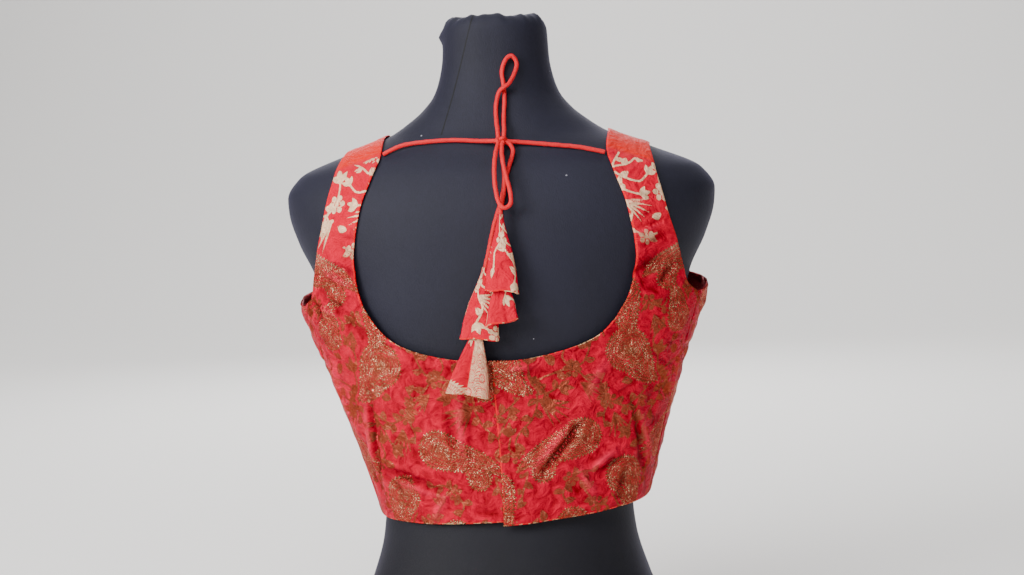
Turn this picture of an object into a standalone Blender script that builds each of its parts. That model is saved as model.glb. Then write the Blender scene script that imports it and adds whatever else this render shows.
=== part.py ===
"""Choli blouse on a limbless dress form.

Metres, +Z up. The wearer's front faces -Y and the wearer's left is +X. The form
stands on z = 0, and every height below is measured from that surface.
"""
import math
from collections import namedtuple

import bmesh
import bpy
import numpy as np

for old in list(bpy.data.objects):
    bpy.data.objects.remove(old, do_unlink=True)


# Driving dimensions

SEAM_GAP = 0.0004          # between two pieces at a seam
SKIN_GAP = 0.0009          # between the cloth and the form, at the nearest
CLOTH = 0.0016             # brocade and its backing, one wall
CONE_CLOTH = 0.0012        # brocade of the hanging cones
CORD_DIAMETER = 0.0038
CORD_SPACING = 2.5         # route points, in cord diameters

AXIS_Y = 0.0098            # the torso's axis, so that the whole stands centred on the origin
HEM_HEIGHT = 0.165
BACK_NECK_HEIGHT = 0.309   # lowest point of the back neckline
FRONT_NECK_HEIGHT = 0.398
UNDERARM_HEIGHT = 0.357
NECK_EDGE = 0.0994         # half width between the straps on the shoulder
ARM_EDGE = 0.1364          # half width over both straps on the shoulder
OVERLAP = 0.004            # the right back crosses the centre by this much
UNDERLAP = 0.016           # the left back runs on under it by this much
OVERLAP_LIFT = CLOTH + 0.0010
OVERLAP_FLAT = 0.019       # the right back is lifted as far as this from the centre
OVERLAP_BLEND = 0.040      # and lies on the form again from here
OVERLAP_DROP = 0.003       # its lower corner hangs lower than the left back's
HEM_SWAY = 0.006           # the hem has slid this far to the wearer's right
HEM_TILT = 0.060           # and rises towards it, per metre across
UNDERARM_TILT = 0.018      # as the underarms do
HEM_SIDE_RISE = 0.003      # the hem curves up to its side seams

SQUARENESS = 2.3           # exponent of every level section
BUST_REACH = 0.078         # from the centre to the fullest point
BUST_HEIGHT = 0.312
BUST_WIDTH = 0.046
BUST_RISE = 0.024
SHOULDER_HEIGHT = 0.455    # the shoulder's ridge lies above this


# The torso: level sections, each with its own back and front depth

Section = namedtuple("Section", "height half_width back front")

FORM_SECTIONS = [
    Section(0.000, 0.1460, 0.1030, 0.0980),
    Section(0.012, 0.1500, 0.1060, 0.1010),
    Section(0.040, 0.1520, 0.1070, 0.1020),
    Section(0.095, 0.1300, 0.0970, 0.0930),
    Section(0.140, 0.1170, 0.0860, 0.0860),
    Section(0.168, 0.1145, 0.0810, 0.0850),
    Section(0.204, 0.1200, 0.0820, 0.0890),
    Section(0.235, 0.1290, 0.0850, 0.0940),
    Section(0.266, 0.1390, 0.0890, 0.0990),
    Section(0.300, 0.1500, 0.0940, 0.1030),
    Section(0.328, 0.1580, 0.0980, 0.1050),
    Section(0.357, 0.1660, 0.1010, 0.1050),
    Section(0.380, 0.1720, 0.1015, 0.1030),
    Section(0.410, 0.1860, 0.1000, 0.0980),
    Section(0.438, 0.1945, 0.0960, 0.0920),
    Section(0.451, 0.1954, 0.0920, 0.0880),
    Section(0.470, 0.1835, 0.0840, 0.0800),
    Section(0.490, 0.1385, 0.0710, 0.0690),
    Section(0.505, 0.0995, 0.0620, 0.0625),
    Section(0.518, 0.0795, 0.0575, 0.0600),
    Section(0.527, 0.0685, 0.0545, 0.0585),
    Section(0.541, 0.0572, 0.0505, 0.0565),
    Section(0.556, 0.0517, 0.0475, 0.0550),
    Section(0.572, 0.0486, 0.0450, 0.0540),
    Section(0.600, 0.0468, 0.0440, 0.0530),
    Section(0.609, 0.0440, 0.0415, 0.0500),
    Section(0.612, 0.0390, 0.0370, 0.0450),
]

CLOTH_SECTIONS = [
    Section(0.150, 0.1180, 0.0850, 0.0900),
    Section(0.165, 0.1232, 0.0865, 0.0915),
    Section(0.204, 0.1345, 0.0880, 0.0975),
    Section(0.235, 0.1435, 0.0900, 0.1020),
    Section(0.266, 0.1535, 0.0935, 0.1060),
    Section(0.300, 0.1650, 0.0975, 0.1090),
    Section(0.328, 0.1760, 0.1005, 0.1100),
    Section(0.357, 0.1855, 0.1025, 0.1085),
    Section(0.380, 0.1872, 0.1028, 0.1050),
    Section(0.410, 0.1895, 0.1010, 0.0990),
    Section(0.438, 0.1950, 0.0965, 0.0925),
    Section(0.451, 0.1958, 0.0924, 0.0884),
    Section(0.470, 0.1839, 0.0844, 0.0804),
    Section(0.490, 0.1389, 0.0714, 0.0694),
    Section(0.505, 0.0999, 0.0624, 0.0629),
    Section(0.518, 0.0799, 0.0579, 0.0604),
    Section(0.541, 0.0576, 0.0509, 0.0569),
]

LEVEL_BELOW = 0.410        # below this height a point is seated without rising
FREE_ABOVE = 0.460         # above this one it slides square to the surface
OUTLINE_POINTS = 1201      # heights at which the sections are worked out
SLOPE_STEP = 0.0008        # between the points that give a surface its slope
SEATING_ROUNDS = 24        # a point has settled on the surface after these


def even_slopes(xs, ys):
    """Slopes of a smooth curve through the points that never overshoots them."""
    steps = np.diff(ys) / np.diff(xs)
    slopes = np.concatenate([[steps[0]], (steps[:-1] + steps[1:]) / 2, [steps[-1]]])
    for k in range(1, len(xs) - 1):
        before, after = steps[k - 1], steps[k]
        if before * after <= 0:
            slopes[k] = 0.0
        else:
            slopes[k] = 2 * before * after / (before + after)
    return slopes


def smooth_column(xs, ys, at):
    slopes = even_slopes(xs, ys)
    k = np.clip(np.searchsorted(xs, at) - 1, 0, len(xs) - 2)
    span = xs[k + 1] - xs[k]
    t = np.clip((at - xs[k]) / span, 0.0, 1.0)
    return ((2 * t**3 - 3 * t**2 + 1) * ys[k] + (t**3 - 2 * t**2 + t) * span * slopes[k]
            + (3 * t**2 - 2 * t**3) * ys[k + 1] + (t**3 - t**2) * span * slopes[k + 1])


def ramp(low, high, value):
    """0 below low, 1 above high and smooth between."""
    t = np.clip((np.asarray(value, float) - low) / (high - low), 0.0, 1.0)
    return t * t * (3 - 2 * t)


class Torso:
    """The surface on which (x / half width)^n + (y / depth)^n is 1."""

    def __init__(self, sections):
        columns = np.array([tuple(row) for row in sections])
        self.heights = np.linspace(columns[0, 0], columns[-1, 0], OUTLINE_POINTS)
        self.widths, self.backs, self.fronts = (
            smooth_column(columns[:, 0], columns[:, k], self.heights) for k in (1, 2, 3))

    def half_width(self, z):
        return np.interp(z, self.heights, self.widths)

    def depth(self, x, z, behind):
        across = np.exp(-((np.abs(x) - BUST_REACH) / BUST_WIDTH)**2)
        along = np.exp(-((z - BUST_HEIGHT) / BUST_WIDTH)**2)
        front = np.interp(z, self.heights, self.fronts) + BUST_RISE * across * along
        return np.where(behind, np.interp(z, self.heights, self.backs), front)

    def level(self, p):
        x, y, z = p[:, 0], p[:, 1] - AXIS_Y, p[:, 2]
        side = np.abs(x) / self.half_width(z)
        deep = np.abs(y) / self.depth(x, z, y > 0)
        return side**SQUARENESS + deep**SQUARENESS - 1

    def gradient(self, p):
        slopes = []
        for axis in np.eye(3) * SLOPE_STEP:
            slopes.append((self.level(p + axis) - self.level(p - axis)) / (2 * SLOPE_STEP))
        return np.stack(slopes, axis=1)

    def normals(self, p):
        g = self.gradient(p)
        return g / np.linalg.norm(g, axis=1)[:, None]

    def seated(self, points):
        """The points moved onto the surface."""
        p = np.array(points, float)
        for _ in range(SEATING_ROUNDS):
            g = self.gradient(p)
            way = g.copy()
            way[:, 2] *= ramp(LEVEL_BELOW, FREE_ABOVE, p[:, 2])
            p = p - (self.level(p) / (g * way).sum(axis=1))[:, None] * way
        return p

    def behind(self, x, z):
        """The point of the back at this place."""
        side = min(abs(x) / float(self.half_width(z)), 1.0)
        y = float(self.depth(x, z, True)) * (1 - side**SQUARENESS)**(1 / SQUARENESS)
        return np.array([x, AXIS_Y + y, z])

    def before(self, x, z):
        """The point of the front at this place."""
        side = min(abs(x) / float(self.half_width(z)), 1.0)
        y = float(self.depth(x, z, False)) * (1 - side**SQUARENESS)**(1 / SQUARENESS)
        return np.array([x, AXIS_Y - y, z])

    def ridge(self, x):
        """The top of the shoulder, where the back meets the front."""
        rows = self.heights > SHOULDER_HEIGHT
        return np.array([x, AXIS_Y, np.interp(-abs(x), -self.widths[rows], self.heights[rows])])


FORM = Torso(FORM_SECTIONS)
BLOUSE = Torso(CLOTH_SECTIONS)


def clear_of_form(points, gap):
    """The points pushed out where they come nearer to the form than the gap."""
    p = np.array(points)
    for _ in range(3):
        g = FORM.gradient(p)
        size = np.linalg.norm(g, axis=1)
        short = np.maximum(gap - FORM.level(p) / size, 0.0)
        p = p + (short / size)[:, None] * g
    return p


# Curves and materials

CURVE_POINTS = 24          # between two guides of a smooth line
SHARP_ANGLE = math.radians(40)
JOIN_DISTANCE = 0.00002    # points as near as this are one


def smooth_line(guides, count):
    """Evenly spaced points on a smooth curve through the guides, ends included."""
    g = np.array(guides, float)
    g = np.vstack([2 * g[0] - g[1], g, 2 * g[-1] - g[-2]])
    dense = []
    for k in range(1, len(g) - 2):
        for t in np.linspace(0, 1, CURVE_POINTS, endpoint=False):
            dense.append(0.5 * (2 * g[k] + (g[k + 1] - g[k - 1]) * t
                                + (2 * g[k - 1] - 5 * g[k] + 4 * g[k + 1] - g[k + 2]) * t**2
                                + (3 * g[k] - g[k - 1] - 3 * g[k + 1] + g[k + 2]) * t**3))
    dense.append(g[-2])
    dense = np.array(dense)
    run = np.concatenate([[0], np.cumsum(np.linalg.norm(np.diff(dense, axis=0), axis=1))])
    at = np.linspace(0, run[-1], count)
    return np.stack([np.interp(at, run, dense[:, k]) for k in range(3)], axis=1)


def material(name, colour, roughness, metallic=0.0):
    made = bpy.data.materials.new(name)
    made.use_nodes = True
    shader = made.node_tree.nodes["Principled BSDF"]
    shader.inputs["Base Color"].default_value = (*colour, 1)
    shader.inputs["Roughness"].default_value = roughness
    shader.inputs["Metallic"].default_value = metallic
    made.diffuse_color = (*colour, 1)
    return made


KNIT_BLACK = (0.022, 0.022, 0.032)
BROCADE_RED = (0.56, 0.035, 0.045)
CORD_CORAL = (0.72, 0.075, 0.065)


def add_object(name, bm, colour, roughness):
    bmesh.ops.recalc_face_normals(bm, faces=bm.faces)
    mesh = bpy.data.meshes.new(name)
    bm.to_mesh(mesh)
    bm.free()
    mesh.shade_smooth()
    mesh.set_sharp_from_angle(angle=SHARP_ANGLE)
    made = bpy.data.objects.new(name, mesh)
    bpy.context.collection.objects.link(made)
    mesh.materials.append(material(name + "_finish", colour, roughness))
    return made


def add_skin(bm, rows, closed):
    """Quads between neighbouring rows of points. Gives back the rows of vertices."""
    verts = [[bm.verts.new(p) for p in row] for row in rows]
    for low, high in zip(verts, verts[1:]):
        last = len(low) if closed else len(low) - 1
        for k in range(last):
            n = (k + 1) % len(low)
            bm.faces.new([low[k], low[n], high[n], high[k]])
    return verts


def add_rim(bm, inside, outside):
    """Closes a wall along one edge, between its two lines of vertices."""
    for k in range(len(inside) - 1):
        bm.faces.new([inside[k], inside[k + 1], outside[k + 1], outside[k]])


# Dress form: one smooth torso from the neck stub to the hips, with a flat base

FORM_RINGS = 36
FORM_SIDES = 36


def even_heights(torso, count):
    """Heights spaced evenly along the torso's outline seen from the front."""
    step = np.hypot(np.diff(torso.widths), np.diff(torso.heights))
    run = np.concatenate([[0], np.cumsum(step)])
    return np.interp(np.linspace(0, run[-1], count), run, torso.heights)


def form_ring(z):
    ring = []
    for k in range(FORM_SIDES):
        angle = 2 * math.pi * k / FORM_SIDES
        c, s = math.cos(angle), math.sin(angle)
        x = float(FORM.half_width(z)) * math.copysign(abs(c)**(2 / SQUARENESS), c)
        deep = float(FORM.depth(x, z, s > 0))
        ring.append((x, AXIS_Y + deep * math.copysign(abs(s)**(2 / SQUARENESS), s), z))
    return ring


def make_form():
    bm = bmesh.new()
    rings = add_skin(bm, [form_ring(z) for z in even_heights(FORM, FORM_RINGS)], True)
    bm.faces.new(rings[0])
    bm.faces.new(rings[-1])
    add_object("dress_form", bm, KNIT_BLACK, 0.85)


# Blouse: edges of the cut, as they lie on the body

Edge = namedtuple("Edge", "half_width height")

BACK_NECKLINE = [
    Edge(0.0300, 0.3105),
    Edge(0.0574, 0.3154),
    Edge(0.0806, 0.3230),
    Edge(0.0945, 0.3315),
    Edge(0.1051, 0.3430),
    Edge(0.1174, 0.3655),
    Edge(0.1225, 0.4006),
    Edge(0.1157, 0.4412),
    Edge(0.1050, 0.4700),
    Edge(0.0990, 0.4900),
]
NECK_TURN = 5              # neckline rows up to here lie across, the rest go up the strap
BACK_ARMHOLE = [
    Edge(0.1670, 0.3668),
    Edge(0.1633, 0.3826),
    Edge(0.1573, 0.4106),
    Edge(0.1500, 0.4360),
    Edge(0.1414, 0.4680),
    Edge(0.1370, 0.4860),
]
FRONT_NECKLINE = [
    Edge(0.0300, 0.4010),
    Edge(0.0560, 0.4110),
    Edge(0.0770, 0.4300),
    Edge(0.0900, 0.4560),
    Edge(0.0975, 0.4850),
]
FRONT_ARMHOLE = [
    Edge(0.1800, 0.3610),
    Edge(0.1690, 0.3720),
    Edge(0.1560, 0.3950),
    Edge(0.1450, 0.4250),
    Edge(0.1380, 0.4600),
    Edge(0.1365, 0.4850),
]

SIDE_SEAM_BACK = 0.040     # the side seam lies this far behind the side at the underarm
SIDE_SEAM_HEM = 0.022      # and this far at the hem
SIDE_SEAM_SPLIT = 0.258    # height on it that faces the lowest point of the back neckline
BACK_SEAM_GUIDES = 6       # points that guide each part of the back's side seam
FRONT_SEAM_GUIDES = 12     # and those of the front's

BACK_ROWS = (10, 8, 15)    # rows of the hem part, of the neckline's bottom, of the strap
FRONT_ROWS = (18, 15)
PANEL_COLUMNS = 14


def side_seam(z, shift):
    """The side seam at this height, moved along the cloth towards the back."""
    behind = np.interp(z, [HEM_HEIGHT, UNDERARM_HEIGHT], [SIDE_SEAM_HEM, SIDE_SEAM_BACK])
    y = float(behind) + shift
    deep = y / float(BLOUSE.depth(0, z, True))
    x = float(BLOUSE.half_width(z)) * (1 - deep**SQUARENESS)**(1 / SQUARENESS)
    return np.array([x, AXIS_Y + y, z])


def shoulder_end(half_width, y):
    """An end of the shoulder seam, moved towards the back or the front."""
    return BLOUSE.seated([BLOUSE.ridge(half_width) + np.array([0, y, 0])])[0]


def polar(points):
    """Radius, angle and height about the torso's axis."""
    p = np.asarray(points) - [0, AXIS_Y, 0]
    return np.stack([np.hypot(p[:, 0], p[:, 1]), np.arctan2(p[:, 1], p[:, 0]), p[:, 2]], axis=1)


def panel_surface(inner_parts, outer_parts, row_counts):
    """Grid of points on the blouse's inner face, from its inner edge to its outer edge."""
    inner, outer = [], []
    for part, (a, b, count) in enumerate(zip(inner_parts, outer_parts, row_counts)):
        skip = 1 if part else 0
        inner.extend(smooth_line(a, count + 1)[skip:])
        outer.extend(smooth_line(b, count + 1)[skip:])
    inner, outer = polar(inner), polar(outer)
    rows = []
    for a, b in zip(inner, outer):
        t = np.linspace(0, 1, PANEL_COLUMNS + 1)[:, None]
        radius, angle, z = (a + (b - a) * t).T
        guides = np.stack([radius * np.cos(angle), AXIS_Y + radius * np.sin(angle), z], axis=1)
        rows.append(BLOUSE.seated(guides))
    return np.array(rows)


# Largest folds: ridges of the cloth, on the wearer's left side and on the right

Fold = namedtuple("Fold", "side face x z length width lean rise")

FOLDS = [
    Fold(+1, "back", 0.108, 0.215, 0.038, 0.011, 4, 0.0034),
    Fold(-1, "back", 0.108, 0.215, 0.038, 0.011, -4, 0.0028),
    Fold(+1, "back", 0.070, 0.203, 0.030, 0.012, 62, 0.0028),
    Fold(+1, "back", 0.085, 0.188, 0.024, 0.010, 40, 0.0024),
    Fold(-1, "back", 0.055, 0.230, 0.034, 0.012, 39, 0.0024),
    Fold(-1, "back", 0.125, 0.395, 0.022, 0.011, 70, 0.0018),
    Fold(+1, "back", 0.158, 0.345, 0.020, 0.010, -35, 0.0024),
    Fold(-1, "back", 0.150, 0.330, 0.026, 0.012, 30, 0.0024),
    Fold(0, "front", 0.074, 0.215, 0.045, 0.011, 0, 0.0030),
    Fold(0, "front", 0.125, 0.325, 0.030, 0.010, -70, 0.0022),
    Fold(0, "front", 0.135, 0.360, 0.022, 0.011, 40, 0.0020),
]


def fold_rise(points, side, face):
    """How far the cloth stands out in its folds at these points."""
    rise = np.zeros(len(points))
    for fold in FOLDS:
        if fold.face != face or fold.side * side < 0:
            continue
        lean = math.radians(fold.lean)
        dx, dz = points[:, 0] - fold.x, points[:, 2] - fold.z
        along = dz * math.cos(lean) + dx * math.sin(lean)
        across = dx * math.cos(lean) - dz * math.sin(lean)
        rise += fold.rise * np.exp(-(along / fold.length)**2 - (across / fold.width)**2)
    return rise


def hung(points):
    """The points as the worn blouse hangs, a little askew on the form."""
    x, y, z = np.array(points).T
    at_hem = 1 - ramp(HEM_HEIGHT, UNDERARM_HEIGHT, z)
    below_strap = 1 - ramp(UNDERARM_HEIGHT, FREE_ABOVE, z)
    side = (x / float(BLOUSE.half_width(HEM_HEIGHT)))**2
    rise = -x * (HEM_TILT * at_hem + UNDERARM_TILT * (1 - at_hem)) * below_strap
    rise += HEM_SIDE_RISE * np.minimum(side, 1) * at_hem**3
    return np.stack([x - HEM_SWAY * at_hem, y, z + rise], axis=1)


def panel_walls(grid, side, face, lift):
    """The inner and the outer points of one panel, on the wearer's left (1) or right (-1)."""
    shape = grid.shape
    flat = grid.reshape(-1, 3)
    turn = np.array([side, 1, 1])
    out = BLOUSE.normals(flat) * turn
    stand = fold_rise(flat, side, face) + lift(flat)
    inside = clear_of_form(hung(flat * turn) + out * stand[:, None], SKIN_GAP)
    return inside.reshape(shape), (inside + out * CLOTH).reshape(shape)


def no_lift(points):
    return np.zeros(len(points))


def overlap_lift(points):
    return OVERLAP_LIFT * (1 - ramp(OVERLAP_FLAT, OVERLAP_BLEND, points[:, 0]))


def back_grid(centre_edge, drop):
    """The back panel of one side, whose centre edge lies at this x."""
    hem_corner = BLOUSE.behind(abs(centre_edge), HEM_HEIGHT - drop)
    top_corner = BLOUSE.behind(abs(centre_edge), BACK_NECK_HEIGHT)
    hem_corner[0] = top_corner[0] = centre_edge
    neck = [BLOUSE.behind(*row) for row in BACK_NECKLINE]
    arm = [BLOUSE.behind(*row) for row in BACK_ARMHOLE]
    split = side_seam(SIDE_SEAM_SPLIT, SEAM_GAP / 2)
    underarm = side_seam(UNDERARM_HEIGHT, SEAM_GAP / 2)
    seam_low = [side_seam(z, SEAM_GAP / 2)
                for z in np.linspace(HEM_HEIGHT, SIDE_SEAM_SPLIT, BACK_SEAM_GUIDES)]
    seam_high = [side_seam(z, SEAM_GAP / 2)
                 for z in np.linspace(SIDE_SEAM_SPLIT, UNDERARM_HEIGHT, BACK_SEAM_GUIDES)]
    inner = [
        [hem_corner, (hem_corner + top_corner) / 2, top_corner],
        [top_corner] + neck[:NECK_TURN],
        neck[NECK_TURN - 1:] + [shoulder_end(NECK_EDGE, SEAM_GAP / 2)],
    ]
    outer = [
        seam_low[:-1] + [split],
        [split] + seam_high[1:-1] + [underarm],
        [underarm] + arm + [shoulder_end(ARM_EDGE, SEAM_GAP / 2)],
    ]
    return panel_surface(inner, outer, BACK_ROWS)


def make_back(name, side, centre_edge, drop, lift):
    inside, outside = panel_walls(back_grid(centre_edge, drop), side, "back", lift)
    bm = bmesh.new()
    within = add_skin(bm, inside, False)
    without = add_skin(bm, outside, False)
    add_rim(bm, within[0], without[0])
    add_rim(bm, within[-1], without[-1])
    for column in (0, -1):
        add_rim(bm, [row[column] for row in within], [row[column] for row in without])
    add_object(name, bm, BROCADE_RED, 0.6)


def front_grid():
    """The wearer's left half of the front, from its centre line to the side seam."""
    hem, top = BLOUSE.before(0, HEM_HEIGHT), BLOUSE.before(0, FRONT_NECK_HEIGHT)
    neck = [BLOUSE.before(*row) for row in FRONT_NECKLINE]
    arm = [BLOUSE.before(*row) for row in FRONT_ARMHOLE]
    centre = [BLOUSE.before(0, z) for z in np.linspace(HEM_HEIGHT, FRONT_NECK_HEIGHT, FRONT_SEAM_GUIDES)]
    seam = [side_seam(z, -SEAM_GAP / 2) for z in np.linspace(HEM_HEIGHT, UNDERARM_HEIGHT, FRONT_SEAM_GUIDES)]
    inner = [[hem] + centre[1:-1] + [top], [top] + neck + [shoulder_end(NECK_EDGE, -SEAM_GAP / 2)]]
    outer = [seam, [seam[-1]] + arm + [shoulder_end(ARM_EDGE, -SEAM_GAP / 2)]]
    return panel_surface(inner, outer, FRONT_ROWS)


def make_front():
    """Both halves of the front, joined down the centre line."""
    grid = front_grid()
    bm = bmesh.new()
    for side in (1, -1):
        inside, outside = panel_walls(grid, side, "front", no_lift)
        within = add_skin(bm, inside, False)
        without = add_skin(bm, outside, False)
        add_rim(bm, within[0], without[0])
        add_rim(bm, within[-1], without[-1])
        add_rim(bm, [row[-1] for row in within], [row[-1] for row in without])
        strap = slice(FRONT_ROWS[0], None)
        add_rim(bm, [row[0] for row in within[strap]], [row[0] for row in without[strap]])
    bmesh.ops.remove_doubles(bm, verts=bm.verts, dist=JOIN_DISTANCE)
    add_object("blouse_front", bm, BROCADE_RED, 0.6)


# Tie cord: it leaves both straps, meets in one bow and ends in two cones. The
# routes are hand-placed on the form's back, in metres.

KNOT_CENTRE = np.array([-0.0089, 0.0740, 0.4980]) + [0, AXIS_Y, 0]
KNOT_HALF = np.array([0.0048, 0.0050, 0.0046])
KNOT_GAP = 0.0009           # to the ends of the strands that meet in it
KNOT_SIDES = 14
KNOT_RINGS = 8
ROUTE_POINTS = 600          # of a cord's line, before it is cut off at the knot
ROUTE_EVERY = 20            # of them that guide the line once it is cut
LEAST_LENGTHS = 4           # straight lengths in the shortest cord

CORD_ROUTES = {
    "cord_left": [
        (0.0974, 0.0587, 0.4895),
        (0.0841, 0.0592, 0.4955),
        (0.0732, 0.0600, 0.4980),
        (0.0521, 0.0632, 0.4997),
        (0.0314, 0.0662, 0.5000),
        (0.0110, 0.0690, 0.4986),
        (-0.0060, 0.0738, 0.4981),
    ],
    "cord_right": [
        (-0.0984, 0.0640, 0.4856),
        (-0.0860, 0.0650, 0.4885),
        (-0.0738, 0.0660, 0.4910),
        (-0.0474, 0.0684, 0.4941),
        (-0.0301, 0.0694, 0.4960),
        (-0.0200, 0.0715, 0.4970),
        (-0.0110, 0.0738, 0.4979),
    ],
    "bow_loop_up": [
        (-0.0112, 0.0735, 0.5000),
        (-0.0114, 0.0695, 0.5075),
        (-0.0108, 0.0614, 0.5180),
        (-0.0113, 0.0548, 0.5350),
        (-0.0108, 0.0526, 0.5462),
        (-0.0094, 0.0501, 0.5586),
        (-0.0124, 0.0485, 0.5685),
        (-0.0180, 0.0467, 0.5727),
        (-0.0223, 0.0462, 0.5662),
        (-0.0208, 0.0494, 0.5582),
        (-0.0165, 0.0552, 0.5491),
        (-0.0119, 0.0576, 0.5451),
        (-0.0070, 0.0574, 0.5409),
        (-0.0040, 0.0574, 0.5297),
        (-0.0042, 0.0625, 0.5174),
        (-0.0056, 0.0695, 0.5075),
        (-0.0064, 0.0735, 0.5000),
    ],
    "bow_loop_down": [
        (-0.0064, 0.0765, 0.4960),
        (-0.0046, 0.0880, 0.4860),
        (-0.0041, 0.0968, 0.4733),
        (-0.0051, 0.1030, 0.4589),
        (-0.0082, 0.1082, 0.4460),
        (-0.0130, 0.1094, 0.4412),
        (-0.0182, 0.1080, 0.4448),
        (-0.0178, 0.1044, 0.4543),
        (-0.0152, 0.0999, 0.4645),
        (-0.0118, 0.0946, 0.4782),
        (-0.0102, 0.0870, 0.4870),
        (-0.0098, 0.0765, 0.4960),
    ],
    "tail_long": [
        (-0.0110, 0.0735, 0.4975),
        (-0.0160, 0.0740, 0.4952),
        (-0.0190, 0.0765, 0.4900),
        (-0.0182, 0.0800, 0.4835),
        (-0.0158, 0.0834, 0.4760),
        (-0.0127, 0.0894, 0.4639),
        (-0.0094, 0.0956, 0.4478),
        (-0.0026, 0.1006, 0.4252),
        (0.0026, 0.1066, 0.4010),
        (0.0046, 0.1094, 0.3917),
    ],
    "tail_short": [
        (-0.0088, 0.0738, 0.4970),
        (-0.0091, 0.0764, 0.4890),
        (-0.0104, 0.0832, 0.4822),
        (-0.0122, 0.0925, 0.4687),
        (-0.0117, 0.0982, 0.4543),
        (-0.0100, 0.1005, 0.4450),
        (-0.0094, 0.1040, 0.4395),
        (-0.0092, 0.1068, 0.4366),
    ],
}


def outside_knot(line):
    scaled = (line - KNOT_CENTRE) / (KNOT_HALF + KNOT_GAP)
    return line[np.linalg.norm(scaled, axis=1) > 1]


def make_cord(name, route):
    dense = outside_knot(smooth_line(np.array(route) + [0, AXIS_Y, 0], ROUTE_POINTS))
    length = np.linalg.norm(np.diff(dense, axis=0), axis=1).sum()
    lengths = max(round(length / (CORD_SPACING * CORD_DIAMETER)), LEAST_LENGTHS)
    points = smooth_line(dense[::ROUTE_EVERY], lengths + 1)
    curve = bpy.data.curves.new(name, "CURVE")
    curve.dimensions = "3D"
    curve.bevel_depth = CORD_DIAMETER / 2
    curve.bevel_resolution = 2
    curve.use_fill_caps = True
    spline = curve.splines.new("POLY")
    spline.points.add(len(points) - 1)
    for point, place in zip(spline.points, points):
        point.co = (*place, 1)
    made = bpy.data.objects.new(name, curve)
    bpy.context.collection.objects.link(made)
    curve.materials.append(material(name + "_finish", CORD_CORAL, 0.55))


def make_knot():
    """The bow's knot: the cord wrapped on itself, drawn as one rounded solid."""
    rings = []
    for r in range(1, KNOT_RINGS):
        up = math.pi * r / KNOT_RINGS
        ring = []
        for k in range(KNOT_SIDES):
            turn = 2 * math.pi * k / KNOT_SIDES
            way = np.array([math.sin(up) * math.cos(turn), math.sin(up) * math.sin(turn), -math.cos(up)])
            ring.append(KNOT_CENTRE + KNOT_HALF * way)
        rings.append(ring)
    bm = bmesh.new()
    verts = add_skin(bm, rings, True)
    for ring, end in ((verts[0], -1), (verts[-1], 1)):
        pole = bm.verts.new(KNOT_CENTRE + KNOT_HALF * [0, 0, end])
        for k in range(KNOT_SIDES):
            bm.faces.new([ring[k], ring[(k + 1) % KNOT_SIDES], pole])
    add_object("bow_knot", bm, CORD_CORAL, 0.55)


# Hanging cones: on each tail an upper cone of brocade, open below, with a second
# cone that comes out of it

Flare = namedtuple("Flare", "along wide deep")

UPPER_FLARE = [
    Flare(0.00, 0.17, 0.44),
    Flare(0.10, 0.22, 0.50),
    Flare(0.30, 0.44, 0.66),
    Flare(0.50, 0.69, 0.80),
    Flare(0.75, 0.90, 0.92),
    Flare(1.00, 1.00, 1.00),
]
LOWER_FLARE = [
    Flare(0.00, 0.13, 0.34),
    Flare(0.25, 0.14, 0.34),
    Flare(0.40, 0.24, 0.38),
    Flare(0.48, 0.32, 0.42),
    Flare(0.64, 0.58, 0.50),
    Flare(0.80, 0.82, 0.80),
    Flare(1.00, 1.00, 1.00),
]
UPPER_HOLLOW = 0.26        # the hollows begin this far down the cones
LOWER_HOLLOW = 0.48
CONE_SIDES = 24
FOLD_DEPTH = 0.07          # of the hem's half width and depth

Pair = namedtuple("Pair", "name tip upper_foot lower_foot upper_half lower_half folds turn")

CONE_PAIRS = [
    Pair("short_cone", (-0.0091, 0.1082, 0.4357), (-0.0091, 0.1166, 0.3699), (-0.0082, 0.1186, 0.3433),
         (0.0145, 0.0056), (0.0139, 0.0054), 3, 0.6),
    Pair("long_cone", (0.0049, 0.1097, 0.3909), (0.0123, 0.1071, 0.3292), (0.0238, 0.1066, 0.2809),
         (0.0168, 0.0060), (0.0185, 0.0060), 4, 1.1),
]


def make_cone(name, top, foot, half, flare, hollow, folds, fold_turn):
    """A flattened cone of cloth: its outer skin, and inside it a hollow open at the foot."""
    axis = (foot - top) / np.linalg.norm(foot - top)
    side = np.cross(axis, [0, 1, 0])
    side /= np.linalg.norm(side)
    deep = np.cross(side, axis)

    def ring(row, wall):
        points = []
        for k in range(CONE_SIDES):
            turn = 2 * math.pi * k / CONE_SIDES
            wave = 1 + FOLD_DEPTH * row.along**2 * math.cos(folds * turn + fold_turn)
            x = (half[0] * row.wide * wave - wall) * math.cos(turn)
            y = (half[1] * row.deep * wave - wall) * math.sin(turn)
            points.append(top + (foot - top) * row.along + side * x + deep * y)
        return points

    columns = np.array(flare)
    mouth = Flare(hollow, *(np.interp(hollow, columns[:, 0], columns[:, k]) for k in (1, 2)))
    inner_rows = [mouth] + [row for row in flare if row.along > hollow]
    bm = bmesh.new()
    outside = add_skin(bm, [ring(row, 0.0) for row in flare], True)
    inside = add_skin(bm, [ring(row, CONE_CLOTH) for row in inner_rows], True)
    bm.faces.new(outside[0])
    bm.faces.new(inside[0])
    for k in range(CONE_SIDES):
        n = (k + 1) % CONE_SIDES
        bm.faces.new([outside[-1][k], outside[-1][n], inside[-1][n], inside[-1][k]])
    add_object(name, bm, BROCADE_RED, 0.6)


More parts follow.
